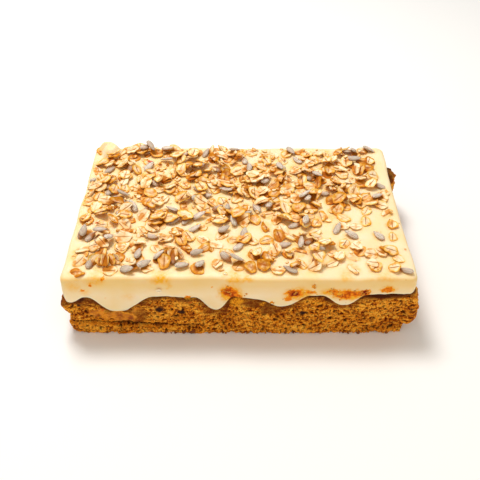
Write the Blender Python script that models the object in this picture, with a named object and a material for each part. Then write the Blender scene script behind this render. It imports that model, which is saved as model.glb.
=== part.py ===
"""A slab of carrot cake: a crumbly sponge under thick icing, strewn with oat flakes and sunflower kernels.

The slab stands on Z = 0 with its long cut face at -Y. The icing fills the hollows of the sponge's top, so
the two solids share one wavy boundary, with a hair of clearance between them. Flakes and kernels are fused
to the icing. Lengths are in metres.
"""

import math
import random
from dataclasses import dataclass

import bmesh
import bpy
import numpy as np
from mathutils import Matrix, Vector, noise

# Size of the iced slab.
LENGTH = 0.206
DEPTH = 0.131
HEIGHT = 0.048
CORNER_RADIUS = 0.0032
CORNER_STEPS = 3

# Spacing of the points round the outline: close on the cut face, wider on the other sides.
FRONT_PITCH = 0.0038
OTHER_PITCH = 0.0066

# The boundary between sponge and icing, away from the drips: it climbs gently towards +X.
BOUNDARY_HEIGHT = 0.0336
BOUNDARY_SLOPE = 0.0155
ICING_GAP = 0.0004
EDGE_BAND = 0.006
DRIP_REACH_INWARD = 0.017
DRIP_SHARE_AT_BAND = 0.75
BELL_SHARPNESS = 1.2

# The sponge's sides.
FOOT_INSET = 0.0006
FRONT_FOOT = 0.0012
FRONT_BOW = 0.0016
STRIP_HEIGHT_LEFT = 0.0102
STRIP_HEIGHT_RIGHT = 0.0058
CRACK_START = -0.104
CRACK_END = -0.022
CRACK_DEPTH = 0.0016
CRACK_OPENING = 0.0016
RIGHT_BULGE = 0.0057
LEDGE_HEIGHT = 0.0086
LEDGE_RISE = 0.0030
RIGHT_CRAG = 0.0064
RIGHT_CRAG_AT = 0.045
RIGHT_CRAG_REACH = 0.024
LEFT_BULGE = 0.0050
LEFT_NOTCH = 0.0012
LEFT_STRIP = 0.0018
BROKEN_CORNER = 0.0075
BROKEN_CORNER_HEIGHT = 0.0095
BROKEN_CORNER_REACH = 0.030
CRUMB_RELIEF = 0.0007
CRUMB_GRAIN = 0.008

# The icing.
ICING_PROUD = 0.0009
LIP_HEIGHT = 0.0012
ICING_EDGE_RADIUS = 0.0046
ICING_EDGE_STEPS = 3
ICING_WANDER = 0.0006
ICING_WANDER_LENGTH = 0.034
ICING_BELLY = 0.0004
TOP_CELL = 0.022
BLOB_AT = (-0.0950, 0.0585)
BLOB_SIZE = (0.0130, 0.0150, 0.0110)
BLOB_LIFT = 0.0014

# Toppings.
SEED = 23
TOPPING_COUNT = 300
KERNEL_SHARE = 0.20
FLAKE_LENGTH = (0.0076, 0.0098)
FLAKE_SHAPE = (0.66, 0.84)
FLAKE_THICKNESS = 0.0011
FLAKE_CORNERS = 7
KERNEL_LENGTH = (0.0084, 0.0102)
KERNEL_WIDTH = 0.0046
KERNEL_THICKNESS = 0.0026
KERNEL_TAPER = 0.45
KERNEL_SIDES = 6
KERNEL_RINGS = 4
SINK = 0.0006
WELD = 0.000002
FLAT_ANGLE = math.radians(0.2)
CELL = 0.0006
STEEPEST_LEAN = 0.55
RANDOM_LEAN = 0.07
TOPPING_MARGIN = 0.0055
DENSE_FROM = -0.020
SPARSE_SHARE = 0.36
CLOSEST = (0.50, 0.95)


@dataclass(frozen=True)
class Station:
    """A point of the slab's outline: its place on the bare rectangle, and the way out."""

    x: float
    y: float
    nx: float
    ny: float


@dataclass(frozen=True)
class Patch:
    """An oval area of the top that is strewn more or less thickly than what is round it."""

    x: float
    y: float
    reach_x: float
    reach_y: float
    share: float

    def hold(self, x, y):
        """How far a place belongs to the patch, from 0 at its rim to 1 at its middle."""
        away = math.hypot((x - self.x) / self.reach_x, (y - self.y) / self.reach_y)
        return math.cos(math.pi / 2 * away**2) if away < 1 else 0.0


@dataclass(frozen=True)
class Drip:
    """A place where the icing reaches down, or up where the drop is negative, and its reach either way."""

    at: float
    drop: float
    reach_low: float
    reach_high: float

    def at_distance(self, along):
        """How far the boundary is lowered at a place along the side."""
        offset = along - self.at
        share = abs(offset) / (self.reach_high if offset > 0 else self.reach_low)
        if share >= 1:
            return 0.0
        return self.drop * math.cos(math.pi / 2 * share**BELL_SHARPNESS) ** 2


FRONT_DRIPS = (
    Drip(-0.101, 0.0042, 0.008, 0.0095),
    Drip(-0.074, 0.0132, 0.016, 0.024),
    Drip(-0.027, 0.0017, 0.018, 0.016),
    Drip(-0.014, 0.0126, 0.0115, 0.011),
    Drip(0.020, 0.0036, 0.026, 0.022),
    Drip(0.0275, 0.0066, 0.015, 0.015),
    Drip(0.0625, 0.0082, 0.0135, 0.012),
)
BACK_DRIPS = (
    Drip(-0.070, 0.0060, 0.014, 0.018),
    Drip(-0.022, 0.0100, 0.020, 0.013),
    Drip(0.031, 0.0050, 0.015, 0.015),
    Drip(0.076, 0.0090, 0.018, 0.014),
)
LEFT_DRIPS = (
    Drip(-0.064, 0.0045, 0.006, 0.012),
    Drip(-0.036, 0.0070, 0.013, 0.016),
    Drip(0.010, 0.0035, 0.012, 0.012),
    Drip(0.041, 0.0090, 0.014, 0.013),
)
RIGHT_DRIPS = (
    Drip(-0.066, -0.0016, 0.010, 0.016),
    Drip(-0.032, 0.0045, 0.018, 0.013),
    Drip(0.002, 0.0080, 0.014, 0.012),
    Drip(0.046, -0.0040, 0.028, 0.018),
)

# Bare and heaped areas of the top.
PATCHES = (
    Patch(0.017, -0.021, 0.013, 0.012, 0.04),
    Patch(0.076, -0.026, 0.030, 0.030, 0.10),
    Patch(0.099, 0.035, 0.013, 0.040, 0.02),
    Patch(-0.097, -0.040, 0.012, 0.024, 0.10),
    Patch(-0.052, -0.032, 0.012, 0.010, 0.10),
    Patch(-0.080, -0.049, 0.014, 0.011, 0.90),
    Patch(-0.036, -0.049, 0.013, 0.011, 0.75),
    Patch(-0.008, -0.047, 0.011, 0.011, 0.80),
    Patch(0.036, -0.045, 0.018, 0.013, 1.00),
    Patch(0.068, -0.044, 0.009, 0.009, 0.90),
    Patch(0.015, 0.015, 0.030, 0.022, 1.60),
)


def clear_scene():
    """Empties the scene of objects."""
    for thing in list(bpy.data.objects):
        bpy.data.objects.remove(thing, do_unlink=True)


def material(name, colour, roughness):
    """A plain non-metallic finish with the food's colour."""
    made = bpy.data.materials.new(name)
    made.use_nodes = True
    shader = made.node_tree.nodes["Principled BSDF"]
    shader.inputs["Base Color"].default_value = (*colour, 1.0)
    shader.inputs["Roughness"].default_value = roughness
    shader.inputs["Metallic"].default_value = 0.0
    return made


def straight(start, end, way_out, pitch):
    """Stations along one straight side, from its start up to just before its end."""
    count = round(math.dist(start, end) / pitch)
    for i in range(count):
        share = i / count
        x = start[0] + (end[0] - start[0]) * share
        y = start[1] + (end[1] - start[1]) * share
        yield Station(x, y, *way_out)


def corner(centre, first_angle):
    """Stations round one quarter-circle corner, from its start up to just before its end."""
    for i in range(CORNER_STEPS):
        angle = math.radians(first_angle + 90 * i / CORNER_STEPS)
        nx, ny = math.cos(angle), math.sin(angle)
        yield Station(centre[0] + CORNER_RADIUS * nx, centre[1] + CORNER_RADIUS * ny, nx, ny)


def outline():
    """All stations, anticlockwise seen from above, from the left end of the front side."""
    half_x, half_y = LENGTH / 2, DEPTH / 2
    in_x, in_y = half_x - CORNER_RADIUS, half_y - CORNER_RADIUS
    return [
        *straight((-in_x, -half_y), (in_x, -half_y), (0, -1), FRONT_PITCH),
        *corner((in_x, -in_y), -90),
        *straight((half_x, -in_y), (half_x, in_y), (1, 0), OTHER_PITCH),
        *corner((in_x, in_y), 0),
        *straight((in_x, half_y), (-in_x, half_y), (0, 1), OTHER_PITCH),
        *corner((-in_x, in_y), 90),
        *straight((-half_x, in_y), (-half_x, -in_y), (-1, 0), OTHER_PITCH),
        *corner((-in_x, -in_y), 180),
    ]


def facing(station, nx, ny):
    """How squarely a station faces a direction, from 0 to 1."""
    return max(0.0, station.nx * nx + station.ny * ny) ** 2


def plateau(x):
    """Height of the boundary where no drip reaches."""
    return BOUNDARY_HEIGHT + BOUNDARY_SLOPE * x


def drop(station):
    """How far the drips lower the boundary at a station."""
    sides = (
        (FRONT_DRIPS, facing(station, 0, -1), station.x),
        (BACK_DRIPS, facing(station, 0, 1), station.x),
        (LEFT_DRIPS, facing(station, -1, 0), station.y),
        (RIGHT_DRIPS, facing(station, 1, 0), station.y),
    )
    return sum(share * drip.at_distance(along) for drips, share, along in sides for drip in drips)


def boundary_height(station):
    """Height of the boundary at the slab's face."""
    return plateau(station.x) - drop(station)


def inset(station, distance):
    """A point that far in from the outline, by shrinking the whole outline, so that no corner folds."""
    return (
        station.x * (1 - distance / (LENGTH / 2)),
        station.y * (1 - distance / (DEPTH / 2)),
    )


def outward(station, distance):
    """A point that far out from the outline, along its normal, or in from it where that is negative."""
    if distance < 0:
        return inset(station, -distance)
    return station.x + station.nx * distance, station.y + station.ny * distance


def pull_in(station, distance, back):
    """A point that far out along the normal, then shrunk back towards the slab's middle."""
    x, y = outward(station, distance)
    return x * (1 - back / (LENGTH / 2)), y * (1 - back / (DEPTH / 2))


def bump(value, middle, reach):
    """A smooth hill from 0 to 1 and back, centred on middle."""
    share = abs(value - middle) / reach
    return math.cos(math.pi / 2 * share) ** 2 if share < 1 else 0.0


def strip_height(x):
    """Height of the crack that parts off the foot: it falls towards the middle and rises to the right ledge."""
    share = min(1.0, max(0.0, (x - CRACK_START) / (CRACK_END - CRACK_START)))
    ledge = LEDGE_RISE * max(0.0, 2 * x / LENGTH) ** 4
    return STRIP_HEIGHT_LEFT + (STRIP_HEIGHT_RIGHT - STRIP_HEIGHT_LEFT) * share + ledge


def crack_strength(station):
    """1 along the crack, fading out past its ends and round the corners."""
    fade = min(1.0, max(0.0, (CRACK_END - station.x) / 0.020))
    return fade * max(facing(station, 0, -1), 0.6 * facing(station, -1, 0) * (station.y < 0))


def crumble(station, z):
    """How far the sponge's torn side stands out of the outline at a height."""
    point = Vector((station.x, station.y, z))
    coarse, fine = noise.noise(point / CRUMB_GRAIN), noise.noise(point * 2.1 / CRUMB_GRAIN)
    relief = CRUMB_RELIEF * (coarse + fine)
    right, left = facing(station, 1, 0), facing(station, -1, 0)
    top = boundary_height(station)
    relief += right * RIGHT_BULGE * bump(z, 0.0175, 0.0205) ** 0.4 * (z > LEDGE_HEIGHT)
    crag = bump(station.y, RIGHT_CRAG_AT, RIGHT_CRAG_REACH) * bump(z, 0.035, 0.016)
    relief += right * RIGHT_CRAG * crag
    relief += left * (LEFT_BULGE * bump(z, 0.0245, 0.010) - LEFT_NOTCH * bump(z, 0.0135, 0.006))
    relief += left * LEFT_STRIP * bump(z, 0.0070, 0.0065)
    relief += facing(station, 0, -1) * FRONT_FOOT * bump(z, 0.0, 0.010)
    relief -= facing(station, 0, -1) * FRONT_BOW * (2 * abs(station.x) / LENGTH) ** 4 * bump(z, 0.0, 0.014)
    near_corner = bump(station.x, LENGTH / 2, BROKEN_CORNER_REACH)
    near_corner *= bump(station.y, -DEPTH / 2, BROKEN_CORNER_REACH)
    relief -= BROKEN_CORNER * near_corner * right * max(0.0, 1 - z / BROKEN_CORNER_HEIGHT) ** 1.5
    at_top = min(1.0, max(0.0, (top - z) / 0.003))
    return relief * at_top


def sponge_rings(stations):
    """The sponge's rings of points, from the underside's rim up its side and in over its top."""

    def side_ring(height_of, push_of=lambda station: 0.0):
        ring = []
        for station in stations:
            z = height_of(station)
            ring.append((*outward(station, crumble(station, z) + push_of(station)), z))
        return ring

    def between(share):
        """A ring that share of the way from the crack's upper lip to the boundary."""

        def height(station):
            lip = strip_height(station.x) + CRACK_OPENING / 2
            return lip + (boundary_height(station) - lip) * share

        return height

    def top_ring(distance, share):
        return [
            (*inset(s, distance), plateau(inset(s, distance)[0]) - drop(s) * share) for s in stations
        ]

    return [
        side_ring(lambda s: 0.0, lambda s: -FOOT_INSET),
        side_ring(lambda s: 0.0024),
        side_ring(lambda s: strip_height(s.x) - CRACK_OPENING / 2),
        side_ring(lambda s: strip_height(s.x), lambda s: -CRACK_DEPTH * crack_strength(s)),
        side_ring(between(0.0)),
        side_ring(between(0.30)),
        side_ring(between(0.62)),
        side_ring(between(0.87)),
        side_ring(boundary_height),
        top_ring(EDGE_BAND, DRIP_SHARE_AT_BAND),
        top_ring(DRIP_REACH_INWARD, 0.0),
    ]


def wander(station):
    """How far the icing's side strays from a straight line: it was spread and cut by hand."""
    point = Vector((station.x, station.y, 0.7)) / ICING_WANDER_LENGTH
    return ICING_WANDER * noise.noise(point) * 2


def icing_rings(stations):
    """The icing's rings of points, from under its middle out to its lip, up its side and over its edge."""

    def under_ring(distance, share):
        return [
            (*inset(s, distance), plateau(inset(s, distance)[0]) - drop(s) * share + ICING_GAP)
            for s in stations
        ]

    def side_ring(push, height_of):
        return [(*outward(s, push + wander(s)), height_of(s)) for s in stations]

    def lip(station):
        return boundary_height(station) + ICING_GAP + LIP_HEIGHT

    shoulder = HEIGHT - ICING_EDGE_RADIUS
    rings = [
        under_ring(DRIP_REACH_INWARD, 0.0),
        under_ring(EDGE_BAND, DRIP_SHARE_AT_BAND),
        [(*outward(s, 0.0), boundary_height(s) + ICING_GAP) for s in stations],
        side_ring(ICING_PROUD, lip),
        side_ring(ICING_PROUD + ICING_BELLY, lambda s: (lip(s) + shoulder) / 2),
    ]
    for i in range(ICING_EDGE_STEPS + 1):
        angle = math.pi / 2 * i / ICING_EDGE_STEPS
        turn_in = ICING_EDGE_RADIUS * (1 - math.cos(angle))
        rise = ICING_EDGE_RADIUS * math.sin(angle)
        rings.append([(*pull_in(s, ICING_PROUD + wander(s), turn_in), shoulder + rise) for s in stations])
    return rings


def part_into_cells(shape, cap, pitch):
    """Cuts a horizontal cap into square cells of that pitch, so that its triangles aren't long splinters."""
    cells = [cap]
    for axis, span in ((Vector((1, 0, 0)), LENGTH), (Vector((0, 1, 0)), DEPTH)):
        count = round(span / pitch)
        for i in range(1, count):
            at = axis * (span * (i / count - 0.5))
            edges = {edge for face in cells for edge in face.edges}
            cut = bmesh.ops.bisect_plane(shape, geom=[*cells, *edges], plane_co=at, plane_no=axis)
            cells = [piece for piece in cut["geom"] if isinstance(piece, bmesh.types.BMFace)]


def loft(name, rings, finish, cell_pitch=None):
    """A closed solid from rings of points: a capped polygon is extruded from each ring to the next."""
    shape = bmesh.new()
    bmesh.ops.create_circle(shape, cap_ends=True, radius=LENGTH, segments=len(rings[0]))
    shape.verts.ensure_lookup_table()
    place = shape.verts.layers.int.new("place")
    by_angle = sorted(shape.verts, key=lambda v: math.atan2(v.co.y, v.co.x))
    for index, vertex in enumerate(by_angle):
        vertex[place] = index
        vertex.co = rings[0][index]
    cap = shape.faces[:][0]
    for ring in rings[1:]:
        grown = bmesh.ops.extrude_face_region(shape, geom=[cap, *cap.edges])
        cap = next(piece for piece in grown["geom"] if isinstance(piece, bmesh.types.BMFace))
        for vertex in cap.verts:
            vertex.co = ring[vertex[place]]
    if cell_pitch:
        part_into_cells(shape, cap, cell_pitch)
    bmesh.ops.recalc_face_normals(shape, faces=shape.faces[:])
    bmesh.ops.triangulate(shape, faces=shape.faces[:], quad_method="SHORT_EDGE")
    return add_object(name, shape, finish)


def add_object(name, shape, finish, collection=None):
    """Puts a bmesh into the scene as an object, shaded smooth, and frees it."""
    mesh = bpy.data.meshes.new(name)
    shape.to_mesh(mesh)
    shape.free()
    mesh.materials.append(finish)
    mesh.shade_smooth()
    mesh.set_sharp_from_angle(angle=math.radians(40))
    made = bpy.data.objects.new(name, mesh)
    (collection or bpy.context.scene.collection).objects.link(made)
    return made


class Surface:
    """A height map of the iced top, on which toppings settle one after another."""

    def __init__(self):
        self.x = np.arange(-LENGTH / 2, LENGTH / 2, CELL)
        self.y = np.arange(-DEPTH / 2, DEPTH / 2, CELL)
        self.height = np.full((len(self.x), len(self.y)), HEIGHT)

    def settle(self, x, y, yaw, size, sway):
        """Lays an oval piece down at a place, swayed a little, and returns the matrix that puts it there."""
        length, width, thickness = size
        reach = length / 2
        columns = np.nonzero(np.abs(self.x - x) < reach)[0]
        rows = np.nonzero(np.abs(self.y - y) < reach)[0]
        window = np.ix_(columns, rows)
        dx, dy = np.meshgrid(self.x[columns] - x, self.y[rows] - y, indexing="ij")
        along = dx * math.cos(yaw) + dy * math.sin(yaw)
        across = dy * math.cos(yaw) - dx * math.sin(yaw)
        under = (along / reach) ** 2 + (across / (width / 2)) ** 2 < 1
        below = self.height[window]
        lean_along = self.lean(below, under, along, length) + sway[0]
        lean_across = self.lean(below, under, across, width) + sway[1]
        tilt = lean_along * along + lean_across * across
        rest = float((below - tilt)[under].max())
        self.height[window] = np.where(under, rest + tilt + thickness, below)
        facing_up = Vector((-lean_along, -lean_across, 1)).normalized()
        lengthwise = Vector((1, 0, lean_along)).normalized()
        turn = Matrix((lengthwise, facing_up.cross(lengthwise), facing_up)).transposed().to_4x4()
        return Matrix.Translation((x, y, rest + thickness / 2)) @ Matrix.Rotation(yaw, 4, "Z") @ turn

    @staticmethod
    def lean(below, under, offset, span):
        """Slope at which a piece rests, from the highest things under its two ends."""
        high = below[under & (offset > 0.15 * span)]
        low = below[under & (offset < -0.15 * span)]
        if not high.size or not low.size:
            return 0.0
        slope = float(high.max() - low.max()) / (0.75 * span)
        return max(-STEEPEST_LEAN, min(STEEPEST_LEAN, slope))


def strewn_share(x, y):
    """How thickly the top is strewn at a place: sparsely towards the cut face, and by the patches' shares."""
    share = 1.0 if y > DENSE_FROM else SPARSE_SHARE
    for patch in PATCHES:
        hold = patch.hold(x, y)
        share += (patch.share - share) * hold
    return share


def scatter(draw, count):
    """Places for the toppings: random, no two too close, and as many anywhere as the top is strewn there."""
    half_x, half_y = LENGTH / 2 - TOPPING_MARGIN, DEPTH / 2 - TOPPING_MARGIN
    apart = math.sqrt(LENGTH * DEPTH / count)
    most = max(patch.share for patch in PATCHES)
    places = []
    while len(places) < count:
        x, y = draw.uniform(-half_x, half_x), draw.uniform(-half_y, half_y)
        clear = apart * draw.uniform(*CLOSEST)
        if draw.random() * most > strewn_share(x, y):
            continue
        if all(math.hypot(x - px, y - py) > clear for px, py in places):
            places.append((x, y))
    return places


def flake(draw, collection, finish):
    """One rolled oat: a thin oval wafer with a few corners."""
    length = draw.uniform(*FLAKE_LENGTH)
    width = length * draw.uniform(*FLAKE_SHAPE)
    shape = bmesh.new()
    bmesh.ops.create_circle(shape, cap_ends=True, radius=0.5, segments=FLAKE_CORNERS)
    bmesh.ops.transform(
        shape,
        matrix=Matrix.Translation((0, 0, -FLAKE_THICKNESS / 2)) @ Matrix.Diagonal((length, width, 1, 1)),
        verts=shape.verts,
    )
    grown = bmesh.ops.extrude_face_region(shape, geom=shape.faces[:])
    raised = [piece for piece in grown["geom"] if isinstance(piece, bmesh.types.BMVert)]
    bmesh.ops.scale(shape, vec=(0.86, 0.86, 1), verts=raised)
    bmesh.ops.translate(shape, vec=(0, 0, FLAKE_THICKNESS), verts=raised)
    bmesh.ops.recalc_face_normals(shape, faces=shape.faces[:])
    return add_object("flake", shape, finish, collection), (length, width, FLAKE_THICKNESS)


def kernel(draw, collection, finish):
    """One sunflower kernel: a flat drop, blunt at one end and pointed at the other."""
    length = draw.uniform(*KERNEL_LENGTH)
    shape = bmesh.new()
    bmesh.ops.create_uvsphere(shape, u_segments=KERNEL_SIDES, v_segments=KERNEL_RINGS, radius=0.5)
    for vertex in shape.verts:
        taper = 1 - KERNEL_TAPER * (vertex.co.z + 0.5)
        across, up = vertex.co.y * KERNEL_WIDTH * taper, -vertex.co.x * KERNEL_THICKNESS * taper
        vertex.co = (vertex.co.z * length, across, up)
    return add_object("kernel", shape, finish, collection), (length, KERNEL_WIDTH, KERNEL_THICKNESS)


def blob(collection, finish):
    """The swelling of icing at the left back corner."""
    shape = bmesh.new()
    bmesh.ops.create_icosphere(shape, subdivisions=2, radius=0.5)
    bmesh.ops.scale(shape, vec=BLOB_SIZE, verts=shape.verts)
    bmesh.ops.translate(shape, vec=(*BLOB_AT, HEIGHT + BLOB_LIFT), verts=shape.verts)
    return add_object("blob", shape, finish, collection)


def toppings(finish):
    """All flakes and kernels in a collection of their own, settled on the icing and sunk into it a little."""
    draw = random.Random(SEED)
    collection = bpy.data.collections.new("toppings")
    bpy.context.scene.collection.children.link(collection)
    blob(collection, finish)
    surface = Surface()
    for x, y in scatter(draw, TOPPING_COUNT):
        make = kernel if draw.random() < KERNEL_SHARE else flake
        piece, size = make(draw, collection, finish)
        sway = (draw.gauss(0, RANDOM_LEAN), draw.gauss(0, RANDOM_LEAN))
        place = surface.settle(x, y, draw.uniform(0, math.pi), size, sway)
        piece.matrix_world = Matrix.Translation((0, 0, -SINK)) @ place
    return collection


def fuse(body, collection):
    """Joins a collection to a body by one Boolean union, applies it, and removes the collection."""
    union = body.modifiers.new("fuse toppings", "BOOLEAN")
    union.operation = "UNION"
    union.operand_type = "COLLECTION"
    union.collection = collection
    union.solver = "MANIFOLD"
    bpy.context.view_layer.update()
    fused = bpy.data.meshes.new_from_object(body.evaluated_get(bpy.context.evaluated_depsgraph_get()))
    body.modifiers.remove(union)
    body.data = fused
    for piece in list(collection.objects):
        bpy.data.objects.remove(piece, do_unlink=True)
    bpy.data.collections.remove(collection)


def keep_largest_shell(body):
    """Drops scraps and fills sealed hollows by keeping the largest shell, and merges coplanar faces."""
    shape = bmesh.new()
    shape.from_mesh(body.data)
    unseen = set(shape.verts)
    shells = []
    while unseen:
        front = [unseen.pop()]
        shell = set(front)
        while front:
            vertex = front.pop()
            for edge in vertex.link_edges:
                other = edge.other_vert(vertex)
                if other in unseen:
                    unseen.remove(other)
                    shell.add(other)
                    front.append(other)
        shells.append(shell)
    largest = max(shells, key=len)
    bmesh.ops.delete(shape, geom=[v for v in shape.verts if v not in largest], context="VERTS")
    bmesh.ops.remove_doubles(shape, verts=shape.verts[:], dist=WELD)
    bmesh.ops.dissolve_limit(shape, angle_limit=FLAT_ANGLE, verts=shape.verts[:], edges=shape.edges[:])
    bmesh.ops.triangulate(shape, faces=shape.faces[:])
    shape.to_mesh(body.data)
    shape.free()


def main():
    """Builds the sponge and the icing with its toppings."""
    clear_scene()
    crumb = material("sponge_crumb", (0.36, 0.12, 0.014), 0.9)
    cream = material("white_chocolate_icing", (0.87, 0.66, 0.36), 0.45)
    stations = outline()
    loft("sponge", sponge_rings(stations), crumb)
    icing = loft("icing", icing_rings(stations), cream, TOP_CELL)
    fuse(icing, toppings(cream))
    keep_largest_shell(icing)


main()
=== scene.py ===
"""Dresses a slab of carrot cake: porous sponge, poured icing, toasted oat flakes and sunflower kernels.

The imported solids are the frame. The sponge and the icing are rebuilt finely in the place of their solids,
from the same named sizes, and the toppings are strewn over the icing one by one, each settling on what lies
below it. Lengths are in metres.
"""

import itertools
import logging
import math
import random
from dataclasses import dataclass, field
from enum import Enum

import bmesh
import bpy
import numpy as np
from mathutils import Matrix, Vector

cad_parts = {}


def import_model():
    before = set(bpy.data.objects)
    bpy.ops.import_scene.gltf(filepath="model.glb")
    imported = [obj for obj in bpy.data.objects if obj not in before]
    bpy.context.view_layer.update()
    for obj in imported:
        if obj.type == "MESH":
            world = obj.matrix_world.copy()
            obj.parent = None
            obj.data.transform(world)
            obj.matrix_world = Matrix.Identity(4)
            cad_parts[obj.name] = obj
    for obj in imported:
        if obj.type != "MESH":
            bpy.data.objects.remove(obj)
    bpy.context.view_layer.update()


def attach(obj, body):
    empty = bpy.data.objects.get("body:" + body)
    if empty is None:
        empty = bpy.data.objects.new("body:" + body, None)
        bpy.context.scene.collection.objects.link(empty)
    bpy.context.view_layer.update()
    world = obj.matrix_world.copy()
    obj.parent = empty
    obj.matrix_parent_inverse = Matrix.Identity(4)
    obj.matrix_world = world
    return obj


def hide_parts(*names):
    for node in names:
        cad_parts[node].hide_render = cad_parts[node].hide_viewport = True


LOG = logging.getLogger("carrot_cake")
MM = 0.001
FULL_TURN = 6.28
Array = np.ndarray
Shape = bmesh.types.BMesh
Tree = bpy.types.NodeTree
Socket = bpy.types.NodeSocket
Stops = list[tuple[float, str]] | list[tuple[float, float]]
NodeValue = Socket | Stops | str | float | tuple[float, ...]
Size = tuple[float, float, float]


def linear(colour: str) -> tuple[float, float, float, float]:
    """Turns an sRGB hex colour into the linear values that a shader wants.

    Args:
        colour: The colour as "#rrggbb".

    Returns:
        Linear red, green and blue, and an alpha of 1.
    """
    parts = [int(colour[i : i + 2], 16) / 255 for i in (1, 3, 5)]
    curve = [p / 12.92 if p <= 0.04045 else ((p + 0.055) / 1.055) ** 2.4 for p in parts]
    return (*curve, 1.0)


def bump(value: Array, middle: float, reach: float) -> Array:
    """A smooth hill from 0 to 1 and back.

    Args:
        value: Where to read the hill.
        middle: Where the hill's top is.
        reach: How far its foot is from its top.

    Returns:
        The hill's height at each value.
    """
    share = np.clip(np.abs(value - middle) / reach, 0, 1)
    return np.cos(math.pi / 2 * share) ** 2


def ease(value: Array, low: float, high: float) -> Array:
    """A smooth step from 0 at low to 1 at high; low may be the larger of the two."""
    share = np.clip((value - low) / (high - low), 0, 1)
    return share * share * (3 - 2 * share)


def value_noise(points: Array, size: float, seed: int) -> Array:
    """Smooth random values from -1 to 1.

    Args:
        points: Rows of coordinates, two or three to a row.
        size: The length over which the values change.
        seed: Picks one of many patterns.

    Returns:
        One value for each row.
    """
    table = np.random.default_rng(seed).uniform(-1, 1, 4096)
    primes = np.array([73856093, 19349663, 83492791][: points.shape[1]])
    cell = points / size
    base = np.floor(cell).astype(np.int64)
    part = cell - base
    part = part * part * (3 - 2 * part)
    total = np.zeros(len(points))
    for corner in itertools.product((0, 1), repeat=points.shape[1]):
        weight = np.prod(np.where(np.array(corner), part, 1 - part), axis=1)
        total += weight * table[((base + np.array(corner)) * primes).sum(axis=1) % 4096]
    return total


def rough_noise(points: Array, size: float, seed: int, octaves: int = 3) -> Array:
    """Value noise in several octaves, each half as large and half as strong as the one before."""
    layers = [value_noise(points, size / 2**i, seed + i) / 2**i for i in range(octaves)]
    return sum(layers)


@dataclass(frozen=True)
class Drip:
    """A place where the icing reaches down, or up where the drop is negative."""

    at: float
    drop: float
    reach_low: float
    reach_high: float

    def lowers(self, along: Array, sharpness: float) -> Array:
        """How far the boundary is lowered at places along the side.

        Args:
            along: The places.
            sharpness: How pointed the drip is.

        Returns:
            The drop at each place.
        """
        offset = along - self.at
        share = np.clip(np.abs(offset) / np.where(offset > 0, self.reach_high, self.reach_low), 0, 1)
        return self.drop * np.cos(math.pi / 2 * share**sharpness) ** 2


class Side(Enum):
    """The slab's four sides, by the way they face."""

    FRONT = (0, -1)
    BACK = (0, 1)
    LEFT = (-1, 0)
    RIGHT = (1, 0)


@dataclass
class Stations:
    """Points of the slab's outline, each with the way out, held as arrays of one length."""

    x: Array
    y: Array
    nx: Array
    ny: Array

    def facing(self, side: Side) -> Array:
        """How squarely each station faces a side, from 0 to 1."""
        return np.clip(self.nx * side.value[0] + self.ny * side.value[1], 0, 1) ** 2

    def outward(self, distance: Array) -> Array:
        """The stations moved out along their normals, as rows of x and y."""
        return np.stack([self.x + self.nx * distance, self.y + self.ny * distance], axis=-1)

    def plan(self) -> Array:
        """The stations as rows of x and y."""
        return np.stack([self.x, self.y], axis=-1)

    def repeated(self, count: int) -> "Stations":
        """Every station count times over, one row of an array to a station."""
        return Stations(*(np.repeat(a[:, None], count, axis=1) for a in (self.x, self.y, self.nx, self.ny)))


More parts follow.
